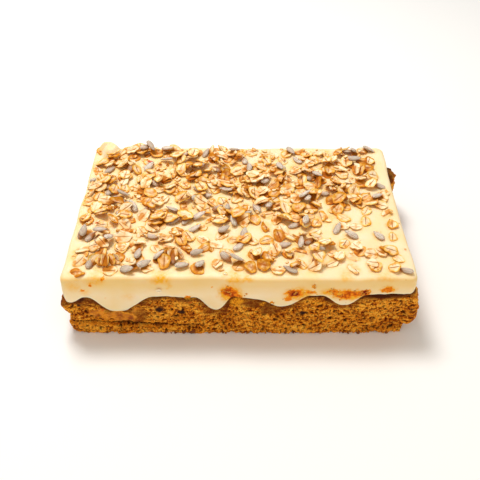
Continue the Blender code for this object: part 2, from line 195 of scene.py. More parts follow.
@dataclass(frozen=True)
class Slab:
    """The iced slab's named sizes, and the wavy boundary between sponge and icing that both pieces share."""

    length: float = 0.206
    depth: float = 0.131
    height: float = 0.048
    corner_radius: float = 0.0032
    boundary_height: float = 0.0336
    boundary_slope: float = 0.0155
    bell_sharpness: float = 1.2
    edge_band: float = 0.006
    drip_reach_inward: float = 0.017
    drip_share_at_band: float = 0.75
    gap: float = 0.0002
    drips: dict[Side, tuple[Drip, ...]] = field(
        default_factory=lambda: {
            Side.FRONT: (
                Drip(-0.101, 0.0042, 0.008, 0.0095),
                Drip(-0.074, 0.0132, 0.016, 0.024),
                Drip(-0.027, 0.0017, 0.018, 0.016),
                Drip(-0.014, 0.0126, 0.0115, 0.011),
                Drip(0.020, 0.0036, 0.026, 0.022),
                Drip(0.0275, 0.0066, 0.015, 0.015),
                Drip(0.0625, 0.0082, 0.0135, 0.012),
            ),
            Side.BACK: (
                Drip(-0.070, 0.0060, 0.014, 0.018),
                Drip(-0.022, 0.0100, 0.020, 0.013),
                Drip(0.031, 0.0050, 0.015, 0.015),
                Drip(0.076, 0.0090, 0.018, 0.014),
            ),
            Side.LEFT: (
                Drip(-0.064, 0.0045, 0.006, 0.012),
                Drip(-0.036, 0.0070, 0.013, 0.016),
                Drip(0.010, 0.0035, 0.012, 0.012),
                Drip(0.041, 0.0090, 0.014, 0.013),
            ),
            Side.RIGHT: (
                Drip(-0.066, -0.0016, 0.010, 0.016),
                Drip(-0.032, 0.0045, 0.018, 0.013),
                Drip(0.002, 0.0080, 0.014, 0.012),
                Drip(0.046, -0.0040, 0.028, 0.018),
            ),
        }
    )

    def stations(self, across: Array, along: Array) -> Stations:
        """Stations for points on the rim of a square that runs from -1 to 1 both ways.

        Args:
            across: The points' places along X on the square.
            along: Their places along Y on the square.

        Returns:
            The stations, on a rectangle with rounded corners.
        """
        half = np.array([self.length / 2, self.depth / 2])
        point = np.stack([across, along], axis=-1) * half
        core = np.clip(point, self.corner_radius - half, half - self.corner_radius)
        way = point - core
        way /= np.linalg.norm(way, axis=-1, keepdims=True)
        place = core + self.corner_radius * way
        return Stations(place[..., 0], place[..., 1], way[..., 0], way[..., 1])

    def drop(self, at: Stations) -> Array:
        """How far the drips lower the boundary.

        Args:
            at: The stations.

        Returns:
            The drop at each station.
        """
        total = np.zeros_like(at.x)
        for side, drips in self.drips.items():
            along = at.x if side in (Side.FRONT, Side.BACK) else at.y
            for drip in drips:
                total += at.facing(side) * drip.lowers(along, self.bell_sharpness)
        return total

    def plateau(self, x: Array) -> Array:
        """Height of the boundary where no drip reaches."""
        return self.boundary_height + self.boundary_slope * x

    def boundary(self, at: Stations) -> Array:
        """Height of the boundary at the slab's faces."""
        wobble = rough_noise(at.plan(), 4.5 * MM, 11, 2) * 0.35 * MM
        return self.plateau(at.x) - self.drop(at) + wobble

    def shrunk(self, plan: Array, distance: float) -> Array:
        """Points moved in from the outline by shrinking the whole outline."""
        return plan * np.array([1 - 2 * distance / self.length, 1 - 2 * distance / self.depth])


@dataclass
class Wrap:
    """A sheet of faces, once round the slab: columns run round the outline, rows go up from one rim."""

    columns: int
    rows: int

    def mesh(self) -> tuple[Shape, Array, Array]:
        """Makes the flat sheet.

        Returns:
            The sheet as a bmesh, and the column and row of each of its vertices.
        """
        shape = bmesh.new()
        bmesh.ops.create_grid(shape, x_segments=self.columns, y_segments=self.rows, size=1.0)
        flat = np.array([v.co[:2] for v in shape.verts])
        low, high = flat.min(axis=0), flat.max(axis=0)
        share = (flat - low) / (high - low)
        column = np.rint(share[:, 0] * self.columns).astype(int)
        row = np.rint(share[:, 1] * self.rows).astype(int)
        return shape, column, row


def place(shape: Shape, points: Array) -> None:
    """Moves every vertex of a bmesh to its row of an array of points."""
    for vertex, point in zip(shape.verts, points.tolist()):
        vertex.co = point


def mark(shape: Shape, name: str, values: Array) -> None:
    """Stores a number on every vertex of a bmesh, for a material to read.

    Args:
        shape: The bmesh.
        name: The attribute's name.
        values: One number for each vertex.
    """
    layer = shape.verts.layers.float.get(name) or shape.verts.layers.float.new(name)
    for vertex, value in zip(shape.verts, values.tolist()):
        vertex[layer] = value


def walk(front: int, side: int) -> tuple[Array, Array]:
    """Points round the rim of a square, anticlockwise from its low left corner.

    Args:
        front: How many steps go along the front, and along the back.
        side: How many steps go along each of the other two sides.

    Returns:
        The points' places along X and along Y, from -1 to 1.
    """
    long, short = np.linspace(-1, 1, front, endpoint=False), np.linspace(-1, 1, side, endpoint=False)
    x = np.concatenate([long, np.ones(side), -long, -np.ones(side)])
    y = np.concatenate([-np.ones(front), short, np.ones(front), -short])
    return x, y


def close_rims(shape: Shape) -> None:
    """Welds a wrapped sheet where its two ends meet, closes its open rims and turns its faces outwards."""
    bmesh.ops.remove_doubles(shape, verts=shape.verts[:], dist=0.002 * MM)
    rims = [edge for edge in shape.edges if edge.is_boundary]
    if rims:
        bmesh.ops.holes_fill(shape, edges=rims, sides=0)
    bmesh.ops.recalc_face_normals(shape, faces=shape.faces[:])


def finish_piece(
    name: str, shape: Shape, material: bpy.types.Material, crisp: float | None = None
) -> bpy.types.Object:
    """Turns a bmesh into a smooth-shaded piece that rides on the cake.

    Args:
        name: The piece's name.
        shape: The finished bmesh, which is freed.
        material: The finish.
        crisp: Edges that turn by more than this many degrees stay sharp.

    Returns:
        The new object, at the origin.
    """
    mesh = bpy.data.meshes.new(name)
    shape.to_mesh(mesh)
    shape.free()
    mesh.materials.append(material)
    mesh.shade_smooth()
    if crisp is not None:
        mesh.set_sharp_from_angle(angle=math.radians(crisp))
    piece = bpy.data.objects.new(name, mesh)
    bpy.context.scene.collection.objects.link(piece)
    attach(piece, "root")
    return piece


class Step(Enum):
    """What a node does: its type, its fixed settings, the inputs that take values and the output read."""

    OBJECT = ("ShaderNodeTexCoord", {}, (), "Object")
    STRETCH = ("ShaderNodeMapping", {}, ("Vector", "Scale"), "Vector")
    SPLIT_X = ("ShaderNodeSeparateXYZ", {}, (0,), "X")
    SPLIT_Y = ("ShaderNodeSeparateXYZ", {}, (0,), "Y")
    SPLIT_Z = ("ShaderNodeSeparateXYZ", {}, (0,), "Z")
    LENGTH = ("ShaderNodeVectorMath", {"operation": "LENGTH"}, (0,), "Value")
    SHIFT = ("ShaderNodeVectorMath", {"operation": "MULTIPLY_ADD"}, (0, 1, 2), "Vector")
    NUMBER = ("ShaderNodeAttribute", {}, (), "Fac")
    VECTOR = ("ShaderNodeAttribute", {}, (), "Vector")
    NOISE = ("ShaderNodeTexNoise", {}, ("Vector", "Scale", "Detail", "Roughness"), "Fac")
    STRAY = ("ShaderNodeTexNoise", {}, ("Vector", "Scale", "Detail"), "Color")
    CELLS = ("ShaderNodeTexVoronoi", {}, ("Vector", "Scale"), "Distance")
    RAMP = ("ShaderNodeValToRGB", {}, (0, "stops"), "Color")
    MIX = ("ShaderNodeMix", {"data_type": "RGBA"}, (0, 6, 7), 2)
    TINT = ("ShaderNodeMix", {"data_type": "RGBA", "blend_type": "MULTIPLY"}, (0, 6, 7), 2)
    ADD = ("ShaderNodeMath", {"operation": "ADD"}, (0, 1), 0)
    SUBTRACT = ("ShaderNodeMath", {"operation": "SUBTRACT"}, (0, 1), 0)
    MULTIPLY = ("ShaderNodeMath", {"operation": "MULTIPLY"}, (0, 1), 0)
    DIVIDE = ("ShaderNodeMath", {"operation": "DIVIDE"}, (0, 1), 0)
    MAXIMUM = ("ShaderNodeMath", {"operation": "MAXIMUM"}, (0, 1), 0)
    ABSOLUTE = ("ShaderNodeMath", {"operation": "ABSOLUTE"}, (0,), 0)
    BUMP = ("ShaderNodeBump", {}, ("Height", "Strength", "Distance"), "Normal")


def add_node(tree: Tree, step: Step, *values: NodeValue, **settings: str) -> Socket:
    """Adds a node with its settings and links.

    Args:
        tree: The material's node tree.
        step: What the node does.
        values: For each input, a socket to link from, a number or a hex colour; for a ramp, also its stops.
        settings: More properties of the node itself.

    Returns:
        The output that the step reads.
    """
    kind, fixed, names, output = step.value
    made = tree.nodes.new(kind)
    for name, value in (fixed | settings).items():
        setattr(made, name, value)
    for name, value in zip(names, values):
        if name == "stops":
            elements = made.color_ramp.elements
            while len(elements) < len(value):
                elements.new(0.5)
            for element, (position, tone) in zip(elements, value):
                element.position = position
                element.color = linear(tone) if isinstance(tone, str) else (tone, tone, tone, 1)
        elif isinstance(value, Socket):
            tree.links.new(value, made.inputs[name])
        else:
            made.inputs[name].default_value = linear(value) if isinstance(value, str) else value
    return made.outputs[output]


class Finish:
    """What every finish shares: a new material, its node tree and its Principled shader."""

    @staticmethod
    def begin(name: str) -> tuple[bpy.types.Material, Tree, Socket]:
        """Starts a material.

        Args:
            name: The material's name.

        Returns:
            The material, its node tree and the object's own coordinates.
        """
        material = bpy.data.materials.new(name)
        material.use_nodes = True
        return material, material.node_tree, add_node(material.node_tree, Step.OBJECT)

    @staticmethod
    def shade(material: bpy.types.Material, inputs: dict[str, NodeValue]) -> bpy.types.Material:
        """Links or sets inputs of the shader.

        Args:
            material: The material.
            inputs: For each input, by name, a socket to link from, a number or a hex colour.

        Returns:
            The same material.
        """
        shader = material.node_tree.nodes["Principled BSDF"]
        for name, value in inputs.items():
            if isinstance(value, Socket):
                material.node_tree.links.new(value, shader.inputs[name])
            else:
                shader.inputs[name].default_value = linear(value) if isinstance(value, str) else value
        return material


@dataclass(frozen=True)
class SpongeCrumb(Finish):
    """Baked carrot sponge, torn and cut: open pores, oily golden crumb, a browned skin under the icing."""

    light: str = "#ffc048"
    gold: str = "#e88e18"
    middle: str = "#b45402"
    deep: str = "#682200"
    pore_shade: str = "#2e1000"
    rust: str = "#7c2e02"
    skin: str = "#7e3c04"
    skin_dark: str = "#4c1c00"
    seam: str = "#461a02"
    wet: str = "#9c4a00"
    wet_tone_and_sheen: str = "#ee981c"
    golden: str = "#f6a620"
    raisin: str = "#3a2118"
    carrot: str = "#cf5f14"
    coarse_share: float = 0.56

    def build(self) -> bpy.types.Material:
        """Makes the material: matt crumb about 1 mm across, with a faint oily sheen on the wet patches,
        partly painted.
        """
        material, tree, where = self.begin("carrot_sponge_crumb")
        layered = add_node(tree, Step.STRETCH, where, (1.0, 1.0, 2.2))
        coarse = add_node(tree, Step.NOISE, layered, 1 / (4.0 * MM), 5, 0.66)
        fine = add_node(tree, Step.NOISE, where, 1 / (0.75 * MM), 3)
        coarse_part = add_node(tree, Step.MULTIPLY, coarse, self.coarse_share)
        fine_part = add_node(tree, Step.MULTIPLY, fine, 1 - self.coarse_share)
        crumb = add_node(tree, Step.ADD, coarse_part, fine_part)
        # The crumb's own tones are laid by the same noise as its bump, so its darker hollows and lighter
        # crests are also painted shade and highlight.
        tones = [(0.43, self.deep), (0.47, self.middle), (0.515, self.gold), (0.56, self.light)]
        colour = add_node(tree, Step.RAMP, crumb, tones)
        # Real pores are 0.3 to 0.6 mm across; they are drawn at 1.1 mm, in clusters, so that they show, as
        # spots of painted shade with a shallow dent.
        stray = add_node(tree, Step.STRAY, where, 1 / (1.3 * MM), 2)
        bent = add_node(tree, Step.SHIFT, stray, (1.4 * MM,) * 3, where)
        pores = add_node(tree, Step.CELLS, bent, 1 / (1.1 * MM))
        pores = add_node(tree, Step.RAMP, pores, [(0.12, 0.78), (0.36, 0.0)])
        clusters = add_node(tree, Step.NOISE, layered, 1 / (4 * MM), 3)
        clusters = add_node(tree, Step.RAMP, clusters, [(0.42, 1.0), (0.50, 0.0)])
        pores = add_node(tree, Step.MULTIPLY, pores, clusters)
        colour = add_node(tree, Step.MIX, pores, colour, self.pore_shade)
        broad = add_node(tree, Step.NOISE, where, 1 / (11 * MM), 3)
        darker = add_node(tree, Step.RAMP, broad, [(0.36, 0.55), (0.52, 0.0)])
        colour = add_node(tree, Step.MIX, darker, colour, self.rust)
        lighter = add_node(tree, Step.RAMP, broad, [(0.52, 0.0), (0.66, 0.35)])
        colour = add_node(tree, Step.MIX, lighter, colour, self.light)
        # Painted shade in the hollows of the relief and painted highlight on its crests.
        cavity = add_node(tree, Step.NUMBER, attribute_name="cavity")
        for sign, strength, tone in ((1.0, 0.85, self.pore_shade), (-1.0, 0.6, self.gold)):
            signed = add_node(tree, Step.MULTIPLY, cavity, sign)
            share = add_node(tree, Step.MULTIPLY, add_node(tree, Step.MAXIMUM, signed, 0.0), strength)
            colour = add_node(tree, Step.MIX, share, colour, tone)
        skin = add_node(tree, Step.NOISE, where, 1 / (2.2 * MM))
        skin = add_node(tree, Step.MIX, skin, self.skin_dark, self.skin)
        skin = add_node(tree, Step.MIX, 0.22, skin, colour)
        # The wet patches run from their own dark caramel to lighter streaks that are partly the caramel's own
        # tone and partly painted sheen.
        gleam = add_node(tree, Step.NOISE, where, 1 / (5 * MM))
        gleam = add_node(tree, Step.RAMP, gleam, [(0.36, 0.0), (0.60, 1.0)])
        gleam = add_node(tree, Step.MIX, gleam, self.wet, self.wet_tone_and_sheen)
        # The skin and the wet patches are the sponge's own colour; the shadow line is painted shadow under
        # the icing and in the crack.
        covers = {"skin": skin, "wet": gleam, "seam": self.seam, "raisin": self.raisin, "carrot": self.carrot}
        for name, cover in covers.items():
            colour = add_node(tree, Step.MIX, add_node(tree, Step.NUMBER, attribute_name=name), colour, cover)
        # Golden patches: the crumb's own colour, and one painted highlight along the top of a wet patch.
        golden = add_node(tree, Step.RAMP, fine, [(0.4, 0.2), (0.55, 1.0)])
        golden = add_node(tree, Step.MULTIPLY, add_node(tree, Step.NUMBER, attribute_name="golden"), golden)
        colour = add_node(tree, Step.MIX, golden, colour, self.golden)
        height = add_node(tree, Step.SUBTRACT, crumb, add_node(tree, Step.MULTIPLY, pores, 0.5))
        wet = add_node(tree, Step.NUMBER, attribute_name="wet")
        return self.shade(
            material,
            {
                "Base Color": colour,
                "Normal": add_node(tree, Step.BUMP, height, 0.8, 0.8 * MM),
                "Roughness": add_node(tree, Step.RAMP, wet, [(0.0, 0.82), (1.0, 0.34)]),
                "Specular IOR Level": add_node(tree, Step.RAMP, wet, [(0.0, 0.10), (1.0, 0.22)]),
                "Subsurface Weight": 0.05,
                "Subsurface Radius": (1.0, 0.5, 0.2),
                "Subsurface Scale": 1.2 * MM,
            },
        )


@dataclass(frozen=True)
class PouredIcing(Finish):
    """Set white chocolate and butter icing: satin, creamy and a little translucent."""

    cream: str = "#f6e2c0"
    butter: str = "#f3d79c"
    # Painted highlight colour for the lower lip.
    lip: str = "#f9e9c4"
    stain: str = "#f2b222"
    golden: str = "#f2a824"
    smeared: str = "#ea7c04"
    crumb: str = "#b84c00"
    dragged: str = "#701400"
    fleck: str = "#c98a3a"
    upper_side_tone: str = "#ecc468"
    band_foot: float = 0.0350
    band_height: float = 0.0130

    def build(self) -> bpy.types.Material:
        """Makes the material: light goes a few millimetres in, so its shadows are soft and warm."""
        material, tree, where = self.begin("white_chocolate_butter_icing")
        cloud = add_node(tree, Step.NOISE, where, 1 / (16 * MM), 3)
        cloud = add_node(tree, Step.RAMP, cloud, [(0.35, 0.0), (0.70, 0.8)])
        colour = add_node(tree, Step.MIX, cloud, self.cream, self.butter)
        # A yellower band over the upper part of the side, by height alone.
        band = add_node(tree, Step.SUBTRACT, add_node(tree, Step.SPLIT_Z, where), self.band_foot)
        band = add_node(tree, Step.DIVIDE, band, self.band_height)
        band = add_node(tree, Step.RAMP, band, [(0.0, 0.0), (0.6, 0.55), (0.9, 0.55), (0.98, 0.0)])
        colour = add_node(tree, Step.MIX, band, colour, self.upper_side_tone)
        # Vanilla and spice flecks are 0.2 to 0.5 mm across.
        fleck = add_node(tree, Step.CELLS, where, 1 / (7 * MM))
        fleck = add_node(tree, Step.RAMP, fleck, [(0.025, 0.7), (0.055, 0.0)])
        colour = add_node(tree, Step.MIX, fleck, colour, self.fleck)
        # Painted highlight along the icing's lower lip.
        colour = add_node(tree, Step.MIX, add_node(tree, Step.NUMBER, attribute_name="lip"), colour, self.lip)
        blotch = add_node(tree, Step.NOISE, where, 1 / (1.8 * MM), 4)
        stain = add_node(tree, Step.RAMP, blotch, [(0.30, 0.35), (0.60, 1.0)])
        # The stain mark holds real oil stains on the front face and painted warm shade under and round the
        # toppings.
        stain = add_node(tree, Step.MULTIPLY, add_node(tree, Step.NUMBER, attribute_name="stain"), stain)
        colour = add_node(tree, Step.MIX, add_node(tree, Step.MULTIPLY, stain, 1.6), colour, self.stain)
        smear = self.smear_share(tree, where)
        bands = (
            (0.0, 0.08, self.golden),
            (0.10, 0.22, self.smeared),
            (0.28, 0.46, self.crumb),
            (0.56, 0.76, self.dragged),
        )
        # The smear bands also colour the lip's underside, as painted warm shade under the lip.
        for start, end, tone in bands:
            cover = add_node(tree, Step.RAMP, smear, [(start, 0.0), (end, 0.95)])
            colour = add_node(tree, Step.MIX, cover, colour, tone)
        # Smeared crumb is dry and lets no light in, so both the depth of the light and the shine fade there.
        depth = add_node(tree, Step.RAMP, smear, [(0.0, 1.0), (0.15, 0.1)])
        shine = add_node(tree, Step.RAMP, smear, [(0.0, 1.0), (0.15, 0.3)])
        grain = add_node(tree, Step.MULTIPLY, add_node(tree, Step.NOISE, where, 1 / (0.5 * MM), 2), 0.06)
        height = add_node(tree, Step.ADD, add_node(tree, Step.NOISE, where, 1 / (5 * MM), 3), grain)
        return self.shade(
            material,
            {
                "Base Color": colour,
                "Normal": add_node(tree, Step.BUMP, height, 0.22, 0.6 * MM),
                "Roughness": 0.42,
                "IOR": 1.46,
                "Specular IOR Level": add_node(tree, Step.MULTIPLY, shine, 0.25),
                "Subsurface Weight": add_node(tree, Step.MULTIPLY, depth, 0.42),
                "Subsurface Radius": (1.0, 0.72, 0.42),
                "Subsurface Scale": 2.6 * MM,
            },
        )

    def smear_share(self, tree: Tree, where: Socket) -> Socket:
        """How much crumb is smeared into the icing, patchily, where its vertices say that there is some; on
        the lip's underside it is painted warm shade.

        Args:
            tree: The material's node tree.
            where: The object's coordinates.

        Returns:
            The share, from 0 to about 1.
        """
        held = add_node(tree, Step.NUMBER, attribute_name="smear")
        patchy = add_node(tree, Step.SUBTRACT, add_node(tree, Step.NOISE, where, 1 / (2.0 * MM), 3), 0.62)
        patchy = add_node(tree, Step.MULTIPLY, patchy, 1.9)
        near_it = add_node(tree, Step.RAMP, held, [(0.0, 0.0), (0.12, 1.0)])
        patchy = add_node(tree, Step.MULTIPLY, patchy, near_it)
        return add_node(tree, Step.MULTIPLY, add_node(tree, Step.ADD, held, patchy), 0.6)


def paint_buried_shade(tree: Tree, colour: Socket, tint: str, deepest: str = "#a05808") -> Socket:
    """Paints shade onto what lies deep among other toppings: browner the deeper it lies, darkest at the
    bottom.

    Args:
        tree: The material's node tree.
        colour: The colour to brown.
        tint: What the colour is multiplied by where the piece is buried.
        deepest: The colour that shows at the very bottom.

    Returns:
        The browned colour.
    """
    buried = add_node(tree, Step.NUMBER, attribute_name="buried")
    colour = add_node(tree, Step.MIX, buried, colour, add_node(tree, Step.TINT, 1.0, colour, tint))
    bottom = add_node(tree, Step.RAMP, buried, [(0.55, 0.0), (1.0, 0.75)])
    return add_node(tree, Step.MIX, bottom, colour, deepest)


@dataclass(frozen=True)
class ToastedOat(Finish):
    """Toasted rolled oat flakes: a pale starchy heart, a golden rim and painted brown shade along the crease
    down the middle.
    """

    heart: str = "#fdeecf"
    body: str = "#f6d072"
    rim: str = "#e2960c"
    toasted: str = "#ba6c06"
    crease: str = "#8a4a0c"

    def build(self) -> bpy.types.Material:
        """Makes the material: dry and matt, streaked along the flake by its bran."""
        material, tree, where = self.begin("toasted_rolled_oat")
        local = add_node(tree, Step.VECTOR, attribute_name="local")
        toast = add_node(tree, Step.NUMBER, attribute_name="toast")
        blotch = add_node(tree, Step.NOISE, where, 1 / (2.4 * MM), 3)
        uneven = add_node(tree, Step.SUBTRACT, blotch, 0.5)
        streak = add_node(tree, Step.NOISE, add_node(tree, Step.STRETCH, local, (1.2, 9.0, 1.0)), 1.0, 2)
        edge = add_node(tree, Step.LENGTH, local)
        edge = add_node(tree, Step.ADD, edge, add_node(tree, Step.MULTIPLY, uneven, 0.9))
        browner = add_node(tree, Step.MULTIPLY, add_node(tree, Step.SUBTRACT, toast, 0.5), 0.7)
        edge = add_node(tree, Step.MULTIPLY, add_node(tree, Step.ADD, edge, browner), 0.7)
        colour = add_node(tree, Step.RAMP, edge, [(0.42, self.heart), (0.65, self.body), (0.82, self.rim)])
        bran = add_node(tree, Step.RAMP, streak, [(0.48, 0.0), (0.72, 0.55)])
        colour = add_node(tree, Step.MIX, bran, colour, self.rim)
        patch = add_node(tree, Step.NOISE, where, 1 / (3.4 * MM), 2)
        patch = add_node(tree, Step.RAMP, patch, [(0.53, 0.0), (0.64, 0.8)])
        colour = add_node(tree, Step.MIX, patch, colour, self.rim)
        burnt = add_node(tree, Step.RAMP, toast, [(0.55, 0.0), (1.0, 0.9)])
        blotched = add_node(tree, Step.RAMP, blotch, [(0.35, 0.2), (0.6, 1.0)])
        burnt = add_node(tree, Step.MULTIPLY, burnt, blotched)
        colour = add_node(tree, Step.MIX, burnt, colour, self.toasted)
        # Painted shade along the flake's crease, which the bump also dents.
        wander = add_node(tree, Step.MULTIPLY, uneven, 0.25)
        off = add_node(tree, Step.ADD, add_node(tree, Step.SPLIT_Y, local), wander)
        furrow = add_node(tree, Step.RAMP, add_node(tree, Step.ABSOLUTE, off), [(0.02, 0.85), (0.13, 0.0)])
        ends = add_node(tree, Step.ABSOLUTE, add_node(tree, Step.SPLIT_X, local))
        ends = add_node(tree, Step.RAMP, ends, [(0.55, 1.0), (0.9, 0.2)])
        furrow = add_node(tree, Step.MULTIPLY, furrow, ends)
        furrow = add_node(tree, Step.MULTIPLY, furrow, add_node(tree, Step.NUMBER, attribute_name="creased"))
        # Painted shade on the parts of a flake that lie deep among other toppings.
        colour = paint_buried_shade(tree, add_node(tree, Step.MIX, furrow, colour, self.crease), "#eeb440")
        height = add_node(tree, Step.SUBTRACT, add_node(tree, Step.MULTIPLY, streak, 0.5), furrow)
        return self.shade(
            material,
            {
                "Base Color": colour,
                "Normal": add_node(tree, Step.BUMP, height, 0.5, 0.35 * MM),
                "Roughness": 0.62,
                "Specular IOR Level": 0.15,
                "Subsurface Weight": 0.08,
                "Subsurface Radius": (1.0, 0.75, 0.4),
                "Subsurface Scale": 0.8 * MM,
            },
        )


@dataclass(frozen=True)
class KernelSkin(Finish):
    """Hulled sunflower kernels: smooth, grey and beige, with faint lines from end to end and a darker tip."""

    pale: str = "#eaddd0"
    grey: str = "#a6927f"
    tip: str = "#7a6248"

    def build(self) -> bpy.types.Material:
        """Makes the material: a dull waxy skin, greyer in its lengthwise lines."""
        material, tree, _ = self.begin("sunflower_kernel_skin")
        local = add_node(tree, Step.VECTOR, attribute_name="local")
        lines = add_node(tree, Step.NOISE, add_node(tree, Step.STRETCH, local, (0.7, 5.0, 5.0)), 1.0, 2)
        colour = add_node(tree, Step.RAMP, lines, [(0.38, self.grey), (0.58, self.pale)])
        greyer = add_node(tree, Step.MULTIPLY, add_node(tree, Step.NUMBER, attribute_name="toast"), 0.55)
        colour = add_node(tree, Step.MIX, greyer, colour, self.grey)
        tip = add_node(tree, Step.RAMP, add_node(tree, Step.SPLIT_X, local), [(0.70, 0.0), (0.98, 0.8)])
        # Painted shade on the parts of a kernel that lie deep among other toppings.
        colour = paint_buried_shade(tree, add_node(tree, Step.MIX, tip, colour, self.tip), "#c8a070")
        return self.shade(
            material,
            {
                "Base Color": colour,
                "Normal": add_node(tree, Step.BUMP, lines, 0.35, 0.25 * MM),
                "Roughness": 0.5,
                "Specular IOR Level": 0.3,
                "Subsurface Weight": 0.12,
                "Subsurface Scale": 0.8 * MM,
            },
        )


@dataclass(frozen=True)
class LooseCrumb(Finish):
    """Crumbs of sponge that fell off or were dragged by the knife: small rough golden-brown lumps."""

    light: str = "#f0a430"
    dark: str = "#b0620c"
    browned: str = "#6a2c06"

    def build(self) -> bpy.types.Material:
        """Makes the material: matt, with painted shade in its hollows."""
        material, tree, where = self.begin("loose_sponge_crumb")
        speck = add_node(tree, Step.NOISE, where, 1 / (0.6 * MM), 2)
        colour = add_node(tree, Step.RAMP, speck, [(0.38, self.dark), (0.6, self.light)])
        browned = add_node(tree, Step.NUMBER, attribute_name="browned")
        colour = add_node(tree, Step.MIX, browned, colour, self.browned)
        relief = add_node(tree, Step.BUMP, speck, 0.5, 0.3 * MM)
        return self.shade(material, {"Base Color": colour, "Normal": relief, "Roughness": 0.8})


@dataclass(frozen=True)
class CarrotShred(Finish):
    """Grated carrot, baked: a moist deep orange."""

    bright: str = "#e8641a"
    dark: str = "#b8380c"

    def build(self) -> bpy.types.Material:
        """Makes the material: moist, so it has a soft shine."""
        material, tree, where = self.begin("grated_carrot")
        strands = add_node(tree, Step.NOISE, where, 1 / (1.2 * MM))
        colour = add_node(tree, Step.MIX, strands, self.dark, self.bright)
        return self.shade(material, {"Base Color": colour, "Roughness": 0.4})


@dataclass(frozen=True)
class WhiteBoard(Finish):
    """A matt white board under the slab: it shows a soft shadow and no shine."""

    colour: str = "#f3f4f7"

    def build(self) -> bpy.types.Material:
        """Makes the material."""
        material, _, _ = self.begin("matt_white_board")
        return self.shade(material, {"Base Color": self.colour, "Roughness": 0.9})


@dataclass(frozen=True)
class Spot:
    """An oval spot on the front face: its middle, its half width and its half height."""

    x: float
    z: float
    reach_x: float
    reach_z: float
    strength: float = 1.0

    def hold(self, x: Array, z: Array, softness: float = 1.0) -> Array:
        """How far places belong to the spot, from 0 at its rim to its strength in the middle."""
        away = np.hypot((x - self.x) / self.reach_x, (z - self.z) / self.reach_z)
        return self.strength * ease(away, 1.0, 1.0 - softness)


